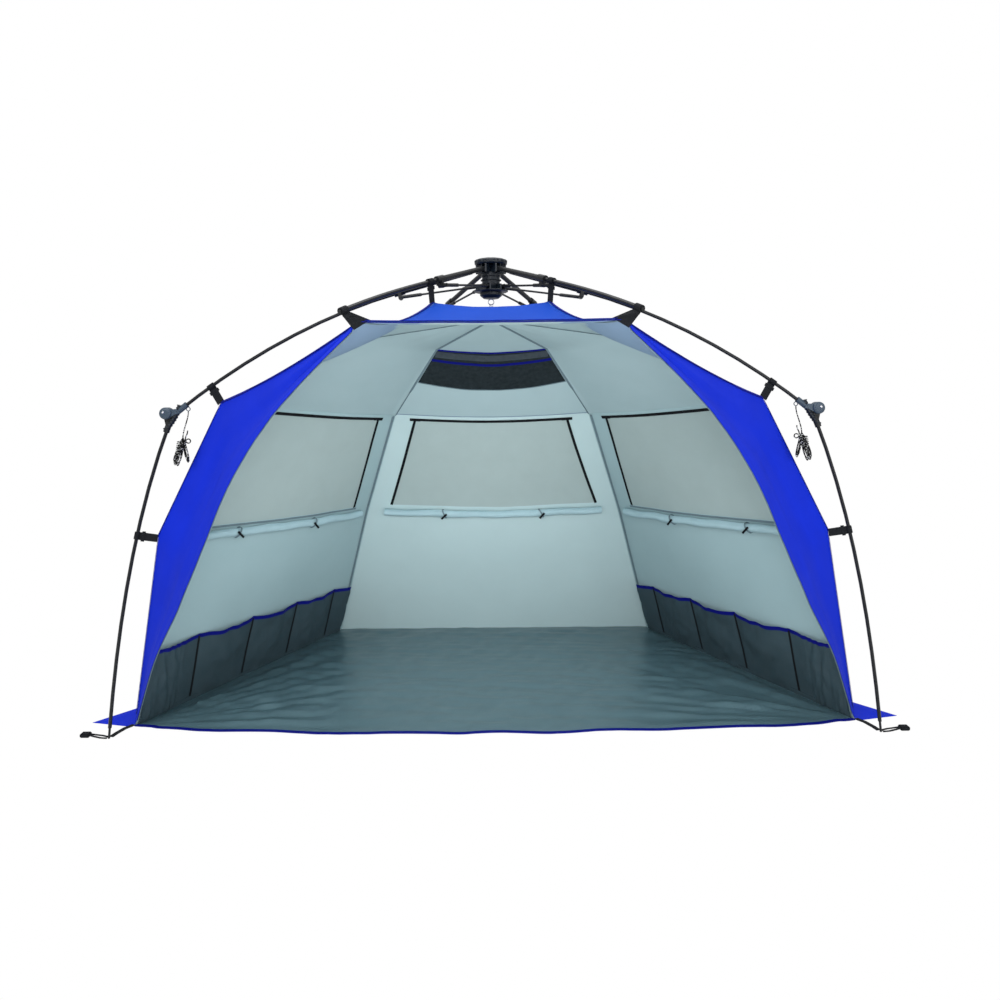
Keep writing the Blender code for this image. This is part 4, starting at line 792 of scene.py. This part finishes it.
# Guy cords, tied to the elbows and wound into a hank.
ARM_DEG = 38.6
ARM_UP = Vector((-math.cos(math.radians(ARM_DEG)), 0, math.sin(math.radians(ARM_DEG))))
ARM_IN = Vector((-math.sin(math.radians(ARM_DEG)), 0, -math.cos(math.radians(ARM_DEG))))
# The elbow's ring lies along the arm and to its inner side, and the hank hangs below it.
RING_R, RING_ALONG, RING_IN = 0.0077, 0.056, 0.014
CORD_D, HANG, HANG_PULL = 0.0038, Vector((-0.003, -0.04975, -0.082)), 0.0273
# The hank's loops: their tilt from straight down, half length, half width and depth.
LOBES = [(0.30, 0.043, 0.0075, 0.0), (-0.20, 0.037, 0.004, 0.007), (0.35, 0.041, 0.010, 0.004),
         (-0.15, 0.038, 0.005, 0.011), (0.24, 0.044, 0.006, 0.0085), (0.39, 0.038, 0.008, 0.013),
         (0.31, 0.041, 0.004, 0.006), (-0.18, 0.035, 0.006, 0.003), (0.27, 0.040, 0.009, 0.012)]
LOBE_STEPS, WRAPS, WRAP_STEPS, WRAP_R, BIGHT_STEPS = 24, 5, 16, 0.0125, 18
FREE_END = ((-0.012, -0.008, 0.004), (-0.017, -0.009, 0.014), (-0.019, -0.009, 0.024))


def hank(end):
    """Long loops that splay, a winding round their necks, a small bight and the free end."""
    path = []
    for tilt, half, belly, depth in LOBES:
        down = Vector((math.sin(tilt), 0, -math.cos(tilt)))
        across = Vector((math.cos(tilt), 0, math.sin(tilt)))
        for k in range(1, LOBE_STEPS + 1):
            turn = 2 * math.pi * k / LOBE_STEPS
            width = belly * (0.35 + 0.65 * (1 - math.cos(turn)) / 2)
            sag = Vector((0, depth * math.sin(turn / 2) + 0.0005 * k / LOBE_STEPS, 0))
            path.append(end + down * half * (1 - math.cos(turn)) + across * width * math.sin(turn) + sag)
    for k in range(WRAPS * WRAP_STEPS + 1):
        turn = 2 * math.pi * k / WRAP_STEPS
        drop = 0.010 + 0.028 * k / (WRAPS * WRAP_STEPS)
        path.append(end + Vector((0.004 + drop * 0.16 + WRAP_R * math.sin(turn),
                                  0.006 - WRAP_R * math.cos(turn), -drop)))
    for k in range(1, BIGHT_STEPS + 1):
        turn = 2 * math.pi * k / BIGHT_STEPS
        path.append(end + Vector((-0.010 - 0.008 * (1 - math.cos(turn)), -0.006,
                                  -0.014 + 0.009 * math.sin(turn) + 0.0006 * k)))
    return path + [end + Vector(place) for place in FREE_END]


def guy(word, flip):
    """A cord from the ring under the elbow, in a soft curve to its hank."""
    ring = Vector((0.830 * R, -SETBACK, 0.691 * H)) + ARM_UP * RING_ALONG + ARM_IN * RING_IN
    start = ring - UP * RING_R
    end = start + HANG
    path = []
    for k in range(13):
        t = k / 12
        path.append(start * (1 - t)**3 + (start - UP * HANG_PULL) * 3 * (1 - t)**2 * t
                    + (end + UP * HANG_PULL) * 3 * (1 - t) * t * t + end * t**3)
    path = [side_of(flip)(p) for p in path + hank(end)]
    data = bpy.data.curves.new("guy cord " + word, "CURVE")
    data.dimensions = "3D"
    data.bevel_depth = CORD_D / 2
    data.bevel_resolution = 2
    data.use_fill_caps = True
    spline = data.splines.new("POLY")
    spline.points.add(len(path) - 1)
    for spot, p in zip(spline.points, path):
        spot.co = (*p, 1)
    data.materials.append(CORD)
    obj = bpy.data.objects.new("guy_cord_" + word, data)
    bpy.context.scene.collection.objects.link(obj)
    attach(obj, "arm_side_" + word)
    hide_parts("guy_line_" + word, "guy_hank_" + word)


for word, flip in SIDES:
    guy(word, flip)


# Foot tapes: webbing from the canopy's corner to the foot's tip, with a looped tail and its hook.
FOOT, CORNER = Vector((R, -SETBACK, 0)), SIDE[0]
FOOT_LINE = [CORNER + Vector((0.002, -0.004, 0.003)), CORNER.lerp(FOOT, 0.35) + Vector((0.004, 0, 0.0045)),
             CORNER.lerp(FOOT, 0.70) + Vector((0.003, 0, 0.0030)), CORNER.lerp(FOOT, 0.92) + UP * 0.0018]
# The tail's places past the foot: along x, its half width, its drift to the rear and its height.
TAIL = [(0.004, 0.005, 0.0, 0.0025), (0.024, 0.008, 0.002, 0.0045), (0.048, 0.006, 0.006, 0.0065),
        (0.066, 0.004, 0.009, 0.0085)]
HOOK_AT, HOOK_SIZE, HOOK_BEVEL_SHARE = FOOT + Vector((0.079, 0.0105, 0.0085)), (0.030, 0.022, 0.013), 0.22


def foot_hook(word, flip):
    """The tail's small hook, a block with soft edges."""
    bm = bmesh.new()
    bmesh.ops.create_cube(bm, size=1.0)
    center = side_of(flip)(HOOK_AT)
    for v in bm.verts:
        v.co = center + Vector(c * size for c, size in zip(v.co, HOOK_SIZE))
    bmesh.ops.bevel(bm, geom=bm.edges[:], offset=min(HOOK_SIZE) * HOOK_BEVEL_SHARE, segments=2,
                    affect="EDGES")
    settle(new_object("foot hook " + word, bm, [BLACK]), ["foot_tape_side_" + word])


for word, flip in SIDES:
    ribbon("foot tape " + word, FOOT_LINE, UP, 0.016, 0.0018, BLACK, flip, 0.0)
    for hand in (-1, 1):
        tail = [FOOT + Vector((x, hand * half + drift, z)) for x, half, drift, z in TAIL]
        ribbon(f"foot tail {word} {hand}", tail, UP, 0.006, 0.0022, BLACK, flip, 0.0)
    foot_hook(word, flip)

# The elbows' round knuckles, and the ribbed covers inside their bends. KNEES are the CAD's elbow joints,
# and LEG_OUT and LEG_DOWN give the direction of the legs below them.
KNEES = {"side": Vector((1.02476, -SETBACK, 1.02462)), "rear": Vector((0.51604, 0.3038, 1.00845))}
LEG_OUT, LEG_DOWN = 0.187, 0.982
COVER_RIBS, RIB_STEPS, COVER_SIDES, COVER_R, RIB_RISE = 9, 6, 12, 0.0078, 0.0011
KNUCKLE_SIDES, KNUCKLE_IN = 32, 0.004
# The knuckle's turned outline: places along its pin, and radii.
KNUCKLE = ((-0.0165, 0.010), (-0.0160, 0.0165), (-0.013, 0.0188), (0.013, 0.0188), (0.0160, 0.0165),
           (0.0165, 0.010))
RIVET_R, RIVET_OUT, RIVET_BACK = 0.0045, 0.0162, 0.006


def elbow_cover(name, path, side, body):
    """A ribbed sleeve, wider along the elbow's pin, on a path of 13 points."""
    bm = bmesh.new()
    rings = []
    for k in range(COVER_RIBS * RIB_STEPS + 1):
        place = k / (COVER_RIBS * RIB_STEPS) * 12
        i = min(int(place), 11)
        p = path[i].lerp(path[i + 1], place - i)
        n = side.cross((path[i + 1] - path[i]).normalized()).normalized()
        r = COVER_R + RIB_RISE * math.cos(2 * math.pi * k / RIB_STEPS)
        ring = []
        for j in range(COVER_SIDES):
            a = 2 * math.pi * j / COVER_SIDES
            ring.append(bm.verts.new(p + (side * math.cos(a) * 1.25 + n * math.sin(a)) * r))
        rings.append(ring)
    skin(bm, rings)
    settle(new_object(name, bm, [HUB]), (), body, False)


def elbow_knuckle(name, center, side, first, body):
    """A disc turned about the elbow's pin."""
    bm = bmesh.new()
    second = side.cross(first)
    rings = []
    for y, r in KNUCKLE:
        ring = []
        for j in range(KNUCKLE_SIDES):
            a = 2 * math.pi * j / KNUCKLE_SIDES
            ring.append(bm.verts.new(center + side * y + r * (first * math.cos(a) + second * math.sin(a))))
        rings.append(ring)
    skin(bm, rings)
    settle(new_object(name, bm, [ELBOW]), (), body, False)


def elbow(kind, knee, word, flip):
    """One elbow's cover, knuckle and rivets, which ride its arm."""
    body, turn = f"arm_{kind}_{word}", side_of(flip)
    radial = Vector((knee.x, knee.y + SETBACK, 0)).normalized()
    side = turn(Vector((-radial.y, radial.x, 0)))
    arm = radial * ARM_UP.x + UP * ARM_UP.z
    leg = radial * LEG_OUT - UP * LEG_DOWN
    inner = (arm + leg).normalized()
    a, b, c = knee + arm * 0.046 + inner * 0.003, knee + inner * 0.030, knee + leg * 0.050 + inner * 0.002
    path = []
    for k in range(13):
        t = k / 12
        path.append(turn(a * (1 - t)**2 + b * 2 * t * (1 - t) + c * t * t))
    elbow_cover(f"elbow cover {kind} {word}", path, side, body)
    center = turn(knee - inner * KNUCKLE_IN)
    elbow_knuckle(f"elbow knuckle {kind} {word}", center, side, turn(inner), body)
    for hand in (-1, 1):
        bm = bmesh.new()
        bmesh.ops.create_uvsphere(bm, u_segments=16, v_segments=10, radius=RIVET_R)
        for v in bm.verts:
            v.co = center - turn(inner) * RIVET_BACK + side * hand * RIVET_OUT + v.co
        settle(new_object(f"elbow rivet {kind} {word} {hand}", bm, [STEEL]), (), body, False)


for kind, knee in KNEES.items():
    for word, flip in SIDES:
        elbow(kind, knee, word, flip)

# Camera, light and backdrop.
CAMERA_AT, LENS, SENSOR_W, SHIFT = (0.0, -SETBACK - 1.9 * R, 1.06), 26.4, 36, (0.008, -0.100)
GROUND_HALF, GROUND_Z = 30, -0.002

cam_data = bpy.data.cameras.new("camera")
cam_data.lens = LENS
cam_data.sensor_width = SENSOR_W
cam_data.shift_x, cam_data.shift_y = SHIFT
cam = bpy.data.objects.new("camera", cam_data)
cam.location = CAMERA_AT
cam.rotation_euler = (math.radians(90), math.radians(0.5), 0)
bpy.context.scene.collection.objects.link(cam)
bpy.context.scene.camera = cam


def lamp(name, place, target, size, power, spread=180):
    """A soft rectangle of light, aimed at its target and hidden from the camera."""
    data = bpy.data.lights.new(name, "AREA")
    data.shape = "RECTANGLE"
    data.size, data.size_y = size
    data.energy = power
    data.spread = math.radians(spread)
    obj = bpy.data.objects.new(name, data)
    obj.location = place
    obj.rotation_euler = (Vector(target) - Vector(place)).to_track_quat("-Z", "Y").to_euler()
    obj.visible_camera = False
    bpy.context.scene.collection.objects.link(obj)


lamp("key", (-1.8, -4.2, 3.6), (0, -0.3, 0.5), (2.5, 2.0), 135)
lamp("fill", (2.8, -4.0, 2.0), (0, 0, 0.5), (2.5, 2.0), 70)
lamp("top", (0, -0.4, 4.0), (0, -0.4, 0.5), (3.0, 3.0), 80)
lamp("door", (0, -1.9, 0.95), (0, 0.3, 0.58), (1.2, 0.7), 4.6, 75)


def white_to_camera(tree, lit, kind, output):
    """What the camera sees straight is plain white, and other rays meet the lit shader."""
    nodes, links = tree.nodes, tree.links
    seen = nodes.new(kind)
    seen.inputs["Color"].default_value = (1, 1, 1, 1)
    seen.inputs["Strength"].default_value = 1.0
    path = nodes.new("ShaderNodeLightPath")
    mix = nodes.new("ShaderNodeMixShader")
    links.new(path.outputs["Is Camera Ray"], mix.inputs[0])
    links.new(lit.outputs[0], mix.inputs[1])
    links.new(seen.outputs[0], mix.inputs[2])
    links.new(mix.outputs[0], nodes[output].inputs["Surface"])


world = bpy.data.worlds.new("studio")
world.use_nodes = True
back = world.node_tree.nodes["Background"]
back.inputs["Color"].default_value = (1, 1, 1, 1)
back.inputs["Strength"].default_value = 0.75
white_to_camera(world.node_tree, back, "ShaderNodeBackground", "World Output")
bpy.context.scene.world = world

sheet_mesh = bpy.data.meshes.new("ground")
corners = [(x * GROUND_HALF, y * GROUND_HALF, GROUND_Z) for x, y in ((-1, -1), (1, -1), (1, 1), (-1, 1))]
sheet_mesh.from_pydata(corners, [], [(0, 1, 2, 3)])
ground_mat = bpy.data.materials.new("studio floor")
ground_mat.use_nodes = True
diffuse = ground_mat.node_tree.nodes["Principled BSDF"]
diffuse.inputs["Base Color"].default_value = (0.8, 0.8, 0.8, 1)
diffuse.inputs["Roughness"].default_value = 0.9
white_to_camera(ground_mat.node_tree, diffuse, "ShaderNodeEmission", "Material Output")
sheet_mesh.materials.append(ground_mat)
studio_floor = bpy.data.objects.new("studio_floor", sheet_mesh)
bpy.context.scene.collection.objects.link(studio_floor)
bpy.context.scene.view_settings.view_transform = "Standard"
